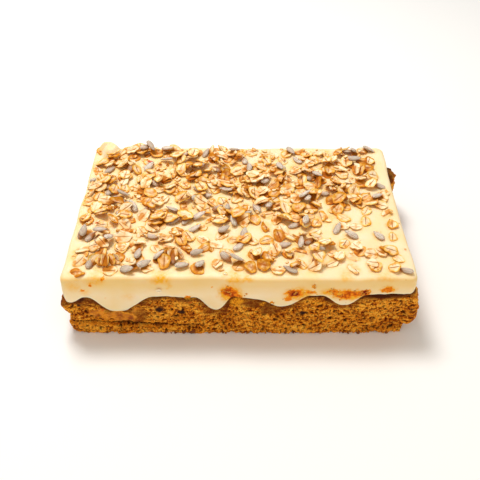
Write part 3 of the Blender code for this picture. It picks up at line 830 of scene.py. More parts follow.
@dataclass
class Sponge:
    """The sponge: cut and torn sides full of pores, over a flat base."""

    slab: Slab
    finish: SpongeCrumb = field(default_factory=SpongeCrumb)
    front_columns: int = 440
    side_columns: int = 200
    rows: int = 70
    foot_inset: float = 0.0006
    front_foot: float = 0.0012
    front_bow: float = 0.0016
    strip_left: float = 0.0102
    strip_right: float = 0.0058
    crack_start: float = -0.104
    crack_end: float = -0.022
    crack_fade: float = 0.020
    crack_depth: float = 0.0036
    crack_half_width: float = 0.0019
    right_bulge: float = 0.0057
    ledge_height: float = 0.0086
    ledge_rise: float = 0.0030
    right_crag: float = 0.0062
    crag_at: float = 0.050
    crag_tear: float = 0.0020
    left_bulge: float = 0.0042
    left_notch: float = 0.0012
    left_strip: float = 0.0018
    broken_corner: float = 0.0075
    shoulder: float = 0.00045
    coarse_relief: float = 0.0008
    fine_relief: float = 0.00035
    grains: int = 24000
    small_pores: int = 6000
    large_pores: int = 480
    seed: int = 5
    bulge_middle: float = 0.0175
    bulge_reach: float = 0.0205
    wet_patches: tuple[Spot, ...] = (
        Spot(-0.0715, 0.0145, 0.0140, 0.0052),
        Spot(-0.0605, 0.0175, 0.0048, 0.0068),
        Spot(-0.0860, 0.0180, 0.0060, 0.0035, 0.8),
    )
    dark_patches: tuple[Spot, ...] = (
        Spot(-0.0595, 0.0168, 0.0052, 0.0072),
        Spot(0.0080, 0.0265, 0.0110, 0.0050),
        Spot(0.0190, 0.0220, 0.0100, 0.0070),
        Spot(0.0250, 0.0240, 0.0070, 0.0040, 0.8),
        Spot(-0.0890, 0.0270, 0.0100, 0.0035, 0.6),
        Spot(-0.0820, 0.0275, 0.0060, 0.0060, 0.8),
        Spot(0.0900, 0.0340, 0.0150, 0.0028, 0.8),
    )
    raisins: tuple[Spot, ...] = (
        Spot(-0.0480, 0.0215, 0.0032, 0.0024),
        Spot(-0.0350, 0.0190, 0.0032, 0.0020),
        Spot(0.0390, 0.0190, 0.0026, 0.0026),
        Spot(-0.0625, 0.0103, 0.0012, 0.0012),
        Spot(-0.0956, 0.0256, 0.0015, 0.0011),
        Spot(0.0300, 0.0185, 0.0012, 0.0010, 0.7),
    )
    golden_patches_and_glint: tuple[Spot, ...] = (
        Spot(-0.0025, 0.0262, 0.0050, 0.0048),
        Spot(0.0000, 0.0290, 0.0052, 0.0036),
        Spot(-0.0300, 0.0310, 0.0060, 0.0018, 0.7),
        # A painted highlight along the top of the wet patch; the other golden patches are the crumb's own
        # colour.
        Spot(-0.0710, 0.0182, 0.0075, 0.0018, 0.9),
        Spot(0.0140, 0.0255, 0.0030, 0.0016, 0.7),
        Spot(0.0580, 0.0330, 0.0070, 0.0022, 0.8),
        Spot(0.0480, 0.0275, 0.0070, 0.0016, 0.5),
    )
    carrots: tuple[Spot, ...] = (
        Spot(-0.0825, 0.0200, 0.0010, 0.0014, 0.8),
        Spot(-0.0290, 0.0275, 0.0022, 0.0006, 0.7),
        Spot(-0.0410, 0.0245, 0.0018, 0.0006, 0.5),
        Spot(0.0420, 0.0240, 0.0016, 0.0006, 0.6),
        Spot(-0.0050, 0.0225, 0.0018, 0.0005, 0.5),
    )

    def strip_height(self, x: Array) -> Array:
        """Height of the crack that parts the sponge's foot from the rest.

        Args:
            x: Places along the slab.

        Returns:
            The height at each place.
        """
        share = np.clip((x - self.crack_start) / (self.crack_end - self.crack_start), 0, 1)
        ledge = self.ledge_rise * np.maximum(0, 2 * x / self.slab.length) ** 4
        return self.strip_left + (self.strip_right - self.strip_left) * share + ledge

    def bulges(self, at: Stations, z: Array) -> Array:
        """How far the large bulges, notches and broken corners stand out.

        Args:
            at: The stations, one for each point.
            z: The points' heights.

        Returns:
            The distance out of the outline for each point.
        """
        half_x, half_y = self.slab.length / 2, self.slab.depth / 2
        right, left, front = at.facing(Side.RIGHT), at.facing(Side.LEFT), at.facing(Side.FRONT)
        uneven = value_noise(at.plan().reshape(-1, 2), 4 * MM, 91).reshape(z.shape)
        ledge = self.ledge_height + 0.5 * MM * uneven
        bulge = bump(z, self.bulge_middle, self.bulge_reach) ** 0.4
        out = right * self.right_bulge * bulge * ease(z, ledge - 0.7 * MM, ledge + 0.2 * MM)
        crag = right * bump(at.y, self.crag_at, 0.022) * bump(z, 0.035, 0.016)
        torn = value_noise(np.stack([at.x, at.y, z], axis=-1).reshape(-1, 3), 3.2 * MM, 95).reshape(z.shape)
        out += crag * (self.right_crag + self.crag_tear * torn)
        out += left * (self.left_bulge * bump(z, 0.0235, 0.0095) - self.left_notch * bump(z, 0.0135, 0.006))
        out += left * self.left_strip * bump(z, 0.0070, 0.0065)
        out += front * self.front_foot * bump(z, 0.0, 0.010)
        out -= front * self.front_bow * (np.abs(at.x) / half_x) ** 4 * bump(z, 0.0, 0.014)
        corner = bump(at.x, half_x, 0.030) * bump(at.y, -half_y, 0.030)
        out -= self.broken_corner * corner * right * np.clip(1 - z / 0.0095, 0, 1) ** 1.5
        return out - self.foot_inset * (z < 0.0006)

    def stamps(self, run: Array, z: Array) -> Array:
        """Relief of pores and crumbs on the unrolled side.

        Args:
            run: Distance round the outline for each column.
            z: Height of each point, one row to a column.

        Returns:
            The relief at each point.
        """
        draw = np.random.default_rng(self.seed)
        relief = np.zeros_like(z)
        total = run[-1] + (run[1] - run[0])
        kinds = (
            (self.grains, (0.5, 1.2), (0.20, 0.95)),
            (self.small_pores, (0.35, 0.75), (-0.90, -0.30)),
            (self.large_pores, (0.8, 1.9), (-1.70, -0.60)),
        )
        for count, radii, depths in kinds:
            middles = draw.uniform(0, total, count)
            heights = draw.uniform(0, self.slab.boundary_height + 0.005, count)
            radius = (radii[0] + (radii[1] - radii[0]) * draw.random(count) ** 2) * MM
            stretch = draw.uniform(0.9, 1.7, count)
            depth = draw.uniform(depths[0], depths[1], count) * MM
            for middle, height, r, wide, d in zip(middles, heights, radius, stretch, depth):
                low, high = np.searchsorted(run, (middle - r * wide, middle + r * wide))
                window = slice(low, high)
                away = ((run[window, None] - middle) / (r * wide)) ** 2 + ((z[window] - height) / r) ** 2
                stamp = d * np.sqrt(np.clip(1 - away, 0, 1))
                relief[window] = np.maximum(relief[window], stamp) if d > 0 else relief[window] + stamp
        return relief

    def build(self) -> bpy.types.Object:
        """Builds the sponge and its marks, and puts it in its solid's place."""
        across, along = walk(self.front_columns, self.side_columns)
        stations = self.slab.stations(across, along)
        columns = len(across)
        plan = stations.plan()
        run = np.concatenate([[0], np.cumsum(np.linalg.norm(np.diff(plan, axis=0), axis=1))])
        top = self.slab.boundary(stations)
        share = np.linspace(0, 1, self.rows + 1)
        z = top[:, None] * share[None, :]
        grid = stations.repeated(self.rows + 1)
        below = top[:, None] - z
        slope = np.abs(np.gradient(top, run))
        depth_under = below / np.sqrt(1 + slope[:, None] ** 2)
        points = np.stack([grid.x, grid.y, z], axis=-1).reshape(-1, 3)
        wobble = rough_noise(points, 6 * MM, 31).reshape(z.shape)
        skin_depth = 3.7 * MM + 1.7 * MM * wobble
        skin = ease(depth_under - skin_depth, 1.2 * MM, -1.2 * MM)
        # Painted shadow in a thin line just under the icing's lip.
        seam = ease(depth_under - 0.9 * MM * wobble, 3.3 * MM, 1.3 * MM)
        edge = 1.3 * MM * rough_noise(points, 3 * MM, 41).reshape(z.shape)
        dark = self.spotted(self.dark_patches, grid, z, edge, 0.45)
        wet = self.spotted(self.wet_patches, grid, z, edge, 0.35) * (1 - 0.85 * dark)
        raisin = self.spotted(self.raisins, grid, z, edge * 0.35, 0.45)
        carrot = self.spotted(self.carrots, grid, z, edge * 0.35, 0.5)
        golden = self.spotted(self.golden_patches_and_glint, grid, z, edge, 0.7)
        smooth = np.clip(np.maximum.reduce([skin, wet, dark]), 0, 1)
        relief = self.stamps(run, z)
        fine = rough_noise(points, 1.6 * MM, 51, 2).reshape(z.shape)
        relief += self.fine_relief * fine
        rough = relief * (1 - 0.72 * smooth)
        rough += self.coarse_relief * rough_noise(points, 9 * MM, 61).reshape(z.shape)
        lip = z - self.strip_height(grid.x) - 0.5 * MM * rough_noise(points, 5 * MM, 71, 2).reshape(z.shape)
        fade = np.clip((self.crack_end - grid.x) / self.crack_fade, 0, 1)
        round_corner = 0.6 * grid.facing(Side.LEFT) * ease(grid.y, 10 * MM, -40 * MM)
        held = fade * np.maximum(grid.facing(Side.FRONT), round_corner)
        crack = held * np.clip(1 - np.abs(lip) / self.crack_half_width, 0, 1)
        rough -= self.crack_depth * crack
        rough += raisin * 0.4 * MM
        out = self.bulges(grid, z) + rough
        hill = np.clip(1.15 - self.slab.drop(stations) / (7 * MM), 0.2, 1)[:, None]
        near_top = ease(below, 1.6 * MM, 0.0)
        out = out * (1 - near_top) + self.shoulder * near_top * (1.2 - hill)
        place_xy = grid.outward(out)
        # Painted shade in the hollows of the relief and along the crack, and painted highlight on its crests.
        cavity = np.clip((self.local_mean(rough) - rough) / (0.42 * MM), -1, 1)
        cavity = np.clip(cavity * (1 - 0.6 * smooth) + crack, -1, 1)
        side = np.concatenate([place_xy, z[..., None]], axis=-1)
        skin = np.clip((0.75 + 0.25 * fine) * skin + dark, 0, 1) * (1 - wet)
        # The painted shadow line is heavier under the icing's hills, and also runs along the crack as painted
        # shade.
        seam = np.maximum(seam * hill * np.clip(0.8 + 0.35 * wobble, 0.3, 1), 0.9 * ease(crack, 0.25, 0.75))
        marks = {"cavity": cavity, "skin": skin, "seam": seam, "wet": wet, "raisin": raisin}
        marks |= {"carrot": carrot, "golden": golden}
        shape = self.shell(stations, side, marks)
        piece = finish_piece("carrot_sponge", shape, self.finish.build())
        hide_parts("sponge")
        return piece

    @staticmethod
    def spotted(spots: tuple[Spot, ...], grid: Stations, z: Array, shift: Array, softness: float) -> Array:
        """How far each point of the front face belongs to any of several spots.

        Args:
            spots: The spots.
            grid: A station for each point.
            z: Each point's height.
            shift: How far each point is read aside, which makes the spots' edges ragged.
            softness: The share of a spot over which it fades.

        Returns:
            A number for each point, 0 away from the spots and off the front face.
        """
        front = grid.facing(Side.FRONT) > 0.5
        return np.max([spot.hold(grid.x + shift, z + shift, softness) for spot in spots], axis=0) * front

    @staticmethod
    def local_mean(values: Array, reach: int = 3) -> Array:
        """The mean of a square patch of neighbours round each point, wrapped round the outline.

        Args:
            values: A number for each column and row.
            reach: How many neighbours the patch takes in each way.

        Returns:
            The mean round each point.
        """
        width = 2 * reach + 1
        total = sum(np.roll(values, shift, axis=0) for shift in range(-reach, reach + 1))
        padded = np.pad(total / width, ((0, 0), (reach, reach)), mode="edge")
        return sum(padded[:, i : i + values.shape[1]] for i in range(width)) / width

    def shell(self, stations: Stations, side: Array, marks: dict[str, Array]) -> Shape:
        """Closes the side with a flat base and with a top that runs under the icing.

        Args:
            stations: One station for each column.
            side: The side's points, by column and row.
            marks: Numbers for the material, by column and row.

        Returns:
            The closed bmesh.
        """
        slab = self.slab
        rings = [(3 * MM, None), (slab.edge_band, slab.drip_share_at_band), (slab.drip_reach_inward, 0.0)]
        columns, rows = side.shape[:2]
        shape, column, row = Wrap(columns, rows - 1 + len(rings)).mesh()
        column %= columns
        base = slab.shrunk(side[:, 0, :2], rings[0][0])
        layers = [np.concatenate([base, np.zeros((columns, 1))], axis=1)]
        layers += [side[:, i] for i in range(rows)]
        for distance, drip_share in rings[1:]:
            plan = slab.shrunk(stations.plan(), distance)
            height = slab.plateau(plan[:, 0]) - slab.drop(stations) * drip_share
            layers.append(np.concatenate([plan, height[:, None]], axis=1))
        table = np.stack(layers)
        place(shape, table[row, column])
        inner = np.clip(row - 1, 0, rows - 1)
        for name, values in marks.items():
            mark(shape, name, values[column, inner])
        close_rims(shape)
        return shape


@dataclass
class TopMap:
    """A number for each small cell of the iced top."""

    x: Array
    y: Array
    values: Array

    def at(self, plan: Array) -> Array:
        """Reads the map, each place from the nearest cell.

        Args:
            plan: Places as rows of x and y.

        Returns:
            The number at each place.
        """
        column = np.clip(np.searchsorted(self.x, plan[:, 0]), 0, len(self.x) - 1)
        row = np.clip(np.searchsorted(self.y, plan[:, 1]), 0, len(self.y) - 1)
        return self.values[column, row]

    def bury(self, shape: Shape, depth: float = 1.7 * MM) -> None:
        """Marks how deep each vertex lies under the height that this map gives for its place, which sets its
        painted shade.

        Args:
            shape: The toppings.
            depth: The depth that counts as fully buried.
        """
        points = np.array([vertex.co[:] for vertex in shape.verts])
        under = self.at(points[:, :2]) - points[:, 2]
        mark(shape, "buried", np.clip(under / depth, 0, 1) * (under < 6 * MM))


@dataclass
class Icing:
    """The icing: a thick poured layer with a soft upper edge, whose foot follows the sponge's hollows."""

    slab: Slab
    # Painted warm shade under and round the toppings, as a map.
    golden: TopMap
    finish: PouredIcing = field(default_factory=PouredIcing)
    front_columns: int = 264
    side_columns: int = 168
    proud: float = 0.0007
    belly: float = 0.0004
    lip_radius: float = 0.0004
    edge_radius: float = 0.0046
    squareness: float = 0.66
    wander: float = 0.0006
    wander_length: float = 0.034
    side_rows: int = 18
    edge_rows: int = 7
    lip_rows: int = 4
    swell_at: tuple[float, float] = (-0.0915, 0.0585)
    swell_size: tuple[float, float, float] = (0.0054, 0.0066, 0.0058)
    smears: tuple[Spot, ...] = (
        Spot(-0.0056, 0.0372, 0.0072, 0.0070),
        Spot(-0.0025, 0.0330, 0.0068, 0.0056),
        Spot(0.0330, 0.0368, 0.0078, 0.0052),
        Spot(0.0290, 0.0320, 0.0040, 0.0030, 0.8),
        Spot(0.0425, 0.0375, 0.0060, 0.0032, 0.6),
        Spot(0.0430, 0.0420, 0.0018, 0.0022, 0.5),
        Spot(0.0520, 0.0385, 0.0030, 0.0020, 0.6),
        Spot(0.0560, 0.0360, 0.0030, 0.0020, 0.6),
        Spot(0.0550, 0.0385, 0.0070, 0.0030, 0.7),
        Spot(0.0670, 0.0372, 0.0120, 0.0044),
        Spot(0.0610, 0.0345, 0.0070, 0.0032, 0.9),
        Spot(0.0733, 0.0372, 0.0048, 0.0042),
        Spot(0.0868, 0.0388, 0.0056, 0.0036, 0.9),
        Spot(0.0120, 0.0290, 0.0016, 0.0022, 0.6),
        Spot(0.0200, 0.0290, 0.0016, 0.0026, 0.7),
        Spot(-0.0305, 0.0325, 0.0030, 0.0020, 0.7),
        Spot(-0.0062, 0.0372, 0.0040, 0.0034, 1.3),
        Spot(0.0330, 0.0366, 0.0038, 0.0034, 1.9),
        Spot(0.0731, 0.0374, 0.0040, 0.0034, 1.9),
    )
    stains: tuple[Spot, ...] = (
        Spot(-0.0050, 0.0360, 0.0105, 0.0100, 1.3),
        Spot(0.0345, 0.0360, 0.0115, 0.0080, 1.2),
        Spot(0.0520, 0.0380, 0.0070, 0.0045, 0.9),
        Spot(0.0640, 0.0360, 0.0160, 0.0068, 1.2),
        Spot(0.0867, 0.0390, 0.0070, 0.0040, 0.8),
        Spot(-0.0450, 0.0460, 0.0085, 0.0045, 0.75),
        Spot(-0.0410, 0.0425, 0.0028, 0.0035, 0.6),
        Spot(-0.0020, 0.0465, 0.0080, 0.0028, 0.7),
        Spot(0.0050, 0.0470, 0.0060, 0.0022, 0.6),
        Spot(-0.0830, 0.0455, 0.0090, 0.0045, 0.55),
        Spot(-0.0960, 0.0420, 0.0060, 0.0060, 0.40),
        Spot(-0.0900, 0.0370, 0.0050, 0.0040, 0.30),
        Spot(0.0620, 0.0475, 0.0060, 0.0020, 0.4),
        Spot(0.0850, 0.0470, 0.0100, 0.0020, 0.35),
        Spot(-0.0650, 0.0330, 0.0060, 0.0050, 0.25),
    )
    specks: tuple[Spot, ...] = (
        Spot(-0.0860, 0.0430, 0.0017, 0.0016, 0.9),
        Spot(-0.0780, 0.0472, 0.0016, 0.0013, 0.8),
        Spot(-0.0910, 0.0390, 0.0018, 0.0015, 0.7),
        Spot(-0.0780, 0.0330, 0.0008, 0.0008, 0.5),
        Spot(-0.0150, 0.0415, 0.0010, 0.0008, 0.5),
    )

    def stray(self, at: Stations) -> Array:
        """How far the icing's side strays from a straight line."""
        return self.wander * 1.4 * value_noise(at.plan(), self.wander_length / 2, 5)

    def top_height(self, plan: Array) -> Array:
        """Height of the icing's upper surface, with its slow waves and the swelling at one corner.

        Args:
            plan: Points as rows of x and y.

        Returns:
            The height at each point.
        """
        waves = 0.16 * MM * value_noise(plan, 17 * MM, 3) + 0.07 * MM * value_noise(plan, 6 * MM, 4)
        x, y = plan[:, 0] - self.swell_at[0], plan[:, 1] - self.swell_at[1]
        away = np.hypot(x / (1.5 * self.swell_size[0]), y / (1.5 * self.swell_size[1]))
        swell = self.swell_size[2] * ease(away, 1.0, 0.35)
        return self.slab.height + waves + swell

    def top(self) -> Shape:
        """The flat top: a square sheet shrunk ring by ring onto the slab's outline."""
        slab = self.slab
        shape = bmesh.new()
        bmesh.ops.create_grid(shape, x_segments=self.front_columns, y_segments=self.side_columns, size=1.0)
        flat = np.array([v.co[:2] for v in shape.verts])
        flat = flat / np.abs(flat).max(axis=0)
        ring = np.abs(flat).max(axis=1)
        safe = np.where(ring > 0, ring, 1)[:, None]
        rim = np.where(ring[:, None] > 0, flat / safe, np.array([1.0, 0.0]))
        stations = slab.stations(rim[:, 0], rim[:, 1])
        rim_plan = slab.shrunk(stations.outward(self.proud + self.stray(stations)), self.edge_radius)
        plan = rim_plan * ring[:, None]
        points = np.concatenate([plan, self.top_height(plan)[:, None]], axis=1)
        place(shape, points)
        self.dress(shape, points)
        return shape

    def side(self) -> Shape:
        """The band round the side: from under the icing out to its lip, up its face and over its edge."""
        slab = self.slab
        across, along = walk(self.front_columns, self.side_columns)
        stations = slab.stations(across, along)
        foot = slab.boundary(stations) + slab.gap
        stray = self.stray(stations)
        rim = slab.shrunk(stations.outward(self.proud + stray), self.edge_radius)
        crest = self.top_height(rim)
        rings = []
        under = ((slab.drip_reach_inward, 0.0), (slab.edge_band, slab.drip_share_at_band))
        for distance, drip_share in under:
            plan = slab.shrunk(stations.plan(), distance)
            height = slab.plateau(plan[:, 0]) - slab.drop(stations) * drip_share + slab.gap
            rings.append(np.column_stack([plan, height]))
        for angle in np.linspace(0, math.pi / 2, self.lip_rows + 1):
            out = self.proud + stray - self.lip_radius * (1 - math.sin(angle))
            z = foot + self.lip_radius * (1 - math.cos(angle))
            rings.append(np.column_stack([stations.outward(out), z]))
        low, high = foot + self.lip_radius, crest - self.edge_radius
        for share in np.linspace(0, 1, self.side_rows + 1)[1:-1]:
            z = low + (high - low) * share
            points = np.column_stack([stations.plan(), z])
            uneven = 0.28 * MM * value_noise(points, 8 * MM, 21) + 0.10 * MM * value_noise(points, 3 * MM, 22)
            arch = math.sin(math.pi * share)
            out = self.proud + stray + self.belly * arch + uneven * arch**0.5
            rings.append(np.column_stack([stations.outward(out), z]))
        for angle in np.linspace(0, math.pi / 2, self.edge_rows + 1):
            inward = self.edge_radius * (1 - math.cos(angle) ** self.squareness)
            plan = slab.shrunk(stations.outward(self.proud + stray), inward)
            z = high + self.edge_radius * math.sin(angle) ** self.squareness
            rings.append(np.column_stack([plan, z]))
        table = np.stack(rings)
        shape, column, row = Wrap(len(across), len(rings) - 1).mesh()
        points = table[row, column % len(across)]
        place(shape, points)
        level = row.astype(float)
        # Row six gets a painted highlight along the lower lip; the rows below it, on the lip's underside, get
        # painted crumb colour for the warm shade under the lip.
        self.dress(shape, points, 0.8 * bump(level, 2 + self.lip_rows, 2.5), ease(level, 5.2, 3.4))
        return shape

    def dress(
        self, shape: Shape, points: Array, lip: Array | float = 0.0, under: Array | float = 0.0
    ) -> None:
        """Marks where crumbs were smeared over the front face and where oil has stained it, and where shade
        and highlight are painted: warm shade round the toppings, a highlight on the lower lip and warm shade
        under that lip.

        Args:
            shape: The sheet to mark.
            points: Its vertices' places.
            lip: How near each vertex is to the icing's lower lip, where a highlight is painted, from 0 to 1.
            under: How far each vertex belongs to the lip's underside, painted crumb-coloured as warm shade,
                from 0 to 1.
        """
        front = ease(points[:, 1], -self.slab.depth / 2 + 9 * MM, -self.slab.depth / 2 + 3 * MM)
        edge = 0.8 * MM * rough_noise(points, 2.2 * MM, 81)
        x, z = points[:, 0] + edge, points[:, 2] + edge
        smear = np.max([s.hold(x, z, 0.8) for s in self.smears + self.specks], axis=0)
        stain = np.max([s.hold(x, z, 0.9) for s in self.stains], axis=0)
        height = points[:, 2] - self.slab.height
        near_top = ease(height, -2 * MM, -1 * MM) * (0.35 + 0.65 * ease(height, 2.5 * MM, 1.0 * MM))
        # Painted warm shade under and round the toppings, near the top only.
        warm_shade_halo = self.golden.at(points[:, :2]) * near_top
        # On the lip's underside the smear mark stands for painted warm shade.
        mark(shape, "smear", np.maximum(smear * front, 0.5 * under))
        mark(shape, "stain", np.maximum(stain * front, warm_shade_halo))
        mark(shape, "lip", np.zeros(len(points)) + lip)

    def build(self) -> bpy.types.Object:
        """Builds the icing and puts it in its solid's place."""
        shape = self.top()
        part = bpy.data.meshes.new("icing_side")
        side = self.side()
        side.to_mesh(part)
        side.free()
        shape.from_mesh(part)
        bpy.data.meshes.remove(part)
        close_rims(shape)
        piece = finish_piece("poured_icing", shape, self.finish.build())
        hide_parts("icing")
        return piece


@dataclass(frozen=True)
class Patch:
    """An oval area of the top that is strewn more or less thickly than what is round it."""

    x: float
    y: float
    reach_x: float
    reach_y: float
    share: float

    def hold(self, x: float, y: float) -> float:
        """How far a place belongs to the patch, from 0 at its rim to 1 at its middle."""
        away = math.hypot((x - self.x) / self.reach_x, (y - self.y) / self.reach_y)
        return math.cos(math.pi / 2 * away**2) if away < 1 else 0.0


class Kind(Enum):
    """What is strewn over the icing."""

    FLAKE = "flake"
    KERNEL = "kernel"
    BIT = "bit"


@dataclass
class Topping:
    """One piece that lies on the icing: what it is, its size, and where and how it lies."""

    kind: Kind
    size: tuple[float, float, float]
    place: Matrix
    toast: float | None = None


class Surface:
    """A height map of the iced top, on which toppings settle one after another."""

    def __init__(self, slab: Slab, cell: float = 0.0006, steepest: float = 0.55) -> None:
        """Starts with a bare flat top.

        Args:
            slab: The slab's sizes.
            cell: The width of one cell of the map.
            steepest: The steepest slope at which a piece may lie.
        """
        self.x = np.arange(-slab.length / 2, slab.length / 2, cell)
        self.y = np.arange(-slab.depth / 2, slab.depth / 2, cell)
        self.height = np.full((len(self.x), len(self.y)), slab.height)
        self.steepest = steepest

    def settle(
        self,
        x: float,
        y: float,
        yaw: float,
        size: Size,
        sway: tuple[float, float],
        nesting: float = 1.0,
    ) -> Matrix:
        """Lays an oval piece down at a place, swayed a little.

        Args:
            x: The place along the slab.
            y: The place across the slab.
            yaw: The turn of the piece's length from X, in radians.
            size: Its length, width and thickness.
            sway: Slopes added along and across it.
            nesting: The share of what is below that the piece rests above; the rest it presses into.

        Returns:
            The matrix that puts the piece there.
        """
        length, width, thickness = size
        reach = length / 2
        columns = np.nonzero(np.abs(self.x - x) < reach)[0]
        rows = np.nonzero(np.abs(self.y - y) < reach)[0]
        window = np.ix_(columns, rows)
        dx, dy = np.meshgrid(self.x[columns] - x, self.y[rows] - y, indexing="ij")
        along = dx * math.cos(yaw) + dy * math.sin(yaw)
        across = dy * math.cos(yaw) - dx * math.sin(yaw)
        under = (along / reach) ** 2 + (across / (width / 2)) ** 2 < 1
        below = self.height[window]
        lean_along = self.lean(below, under, along, length) + sway[0]
        lean_across = self.lean(below, under, across, width) + sway[1]
        tilt = lean_along * along + lean_across * across
        rest = float(np.quantile((below - tilt)[under], nesting))
        laid = rest + tilt + thickness
        self.height[window] = np.where(under, laid if nesting == 1 else np.maximum(below, laid), below)
        facing_up = Vector((-lean_along, -lean_across, 1)).normalized()
        lengthwise = Vector((1, 0, lean_along)).normalized()
        turn = Matrix((lengthwise, facing_up.cross(lengthwise), facing_up)).transposed().to_4x4()
        return Matrix.Translation((x, y, rest + thickness / 2)) @ Matrix.Rotation(yaw, 4, "Z") @ turn

    def raise_to(self, x: float, y: float, reach: float, top: float) -> None:
        """Fills a round area up to a height.

        Args:
            x: The area's middle along the slab.
            y: Its middle across the slab.
            reach: Its radius.
            top: The height.
        """
        away = np.hypot(self.x[:, None] - x, self.y[None, :] - y)
        self.height[away < reach] = np.maximum(self.height[away < reach], top)

    def level(self, x: float, y: float, reach: float = 0.003) -> float:
        """Mean height of what lies round a place.

        Args:
            x: The place along the slab.
            y: The place across the slab.
            reach: Half the width of the area that counts.

        Returns:
            The height.
        """
        columns, rows = np.abs(self.x - x) < reach, np.abs(self.y - y) < reach
        return float(self.height[np.ix_(columns, rows)].mean())

    @staticmethod
    def blurred(values: Array, reach: int) -> Array:
        """A map's values, each averaged over the cells within reach of its own.

        Args:
            values: The map.
            reach: A number of cells.

        Returns:
            The blurred map.
        """
        shifts = range(-reach, reach + 1)
        for axis in (0, 1):
            values = sum(np.roll(values, shift, axis=axis) for shift in shifts) / len(shifts)
        return values

    def warm_shade_halo(self, reach: int = 2, strength: float = 0.36) -> TopMap:
        """Painted warm shade that turns the icing golden under the toppings and close round them.

        Args:
            reach: How many cells the gold spreads.
            strength: How golden it is at most.

        Returns:
            The map.
        """
        covered = (self.height > self.height.min() + 1e-6).astype(float)
        return TopMap(self.x, self.y, np.clip(self.blurred(covered, reach) * 1.5, 0, 1) * strength)

    def crowd(self, reach: int = 4) -> TopMap:
        """The mean height of what lies round each place."""
        return TopMap(self.x, self.y, self.blurred(self.height, reach))

    def lean(self, below: Array, under: Array, offset: Array, span: float) -> float:
        """Slope at which a piece rests, from the highest things under its two ends.

        Args:
            below: The heights round the piece.
            under: Which of them are under it.
            offset: How far each is from its middle.
            span: The piece's size that way.

        Returns:
            The slope, no steeper than the steepest.
        """
        high = below[under & (offset > 0.15 * span)]
        low = below[under & (offset < -0.15 * span)]
        if not high.size or not low.size:
            return 0.0
        slope = float(high.max() - low.max()) / (0.75 * span)
        return max(-self.steepest, min(self.steepest, slope))


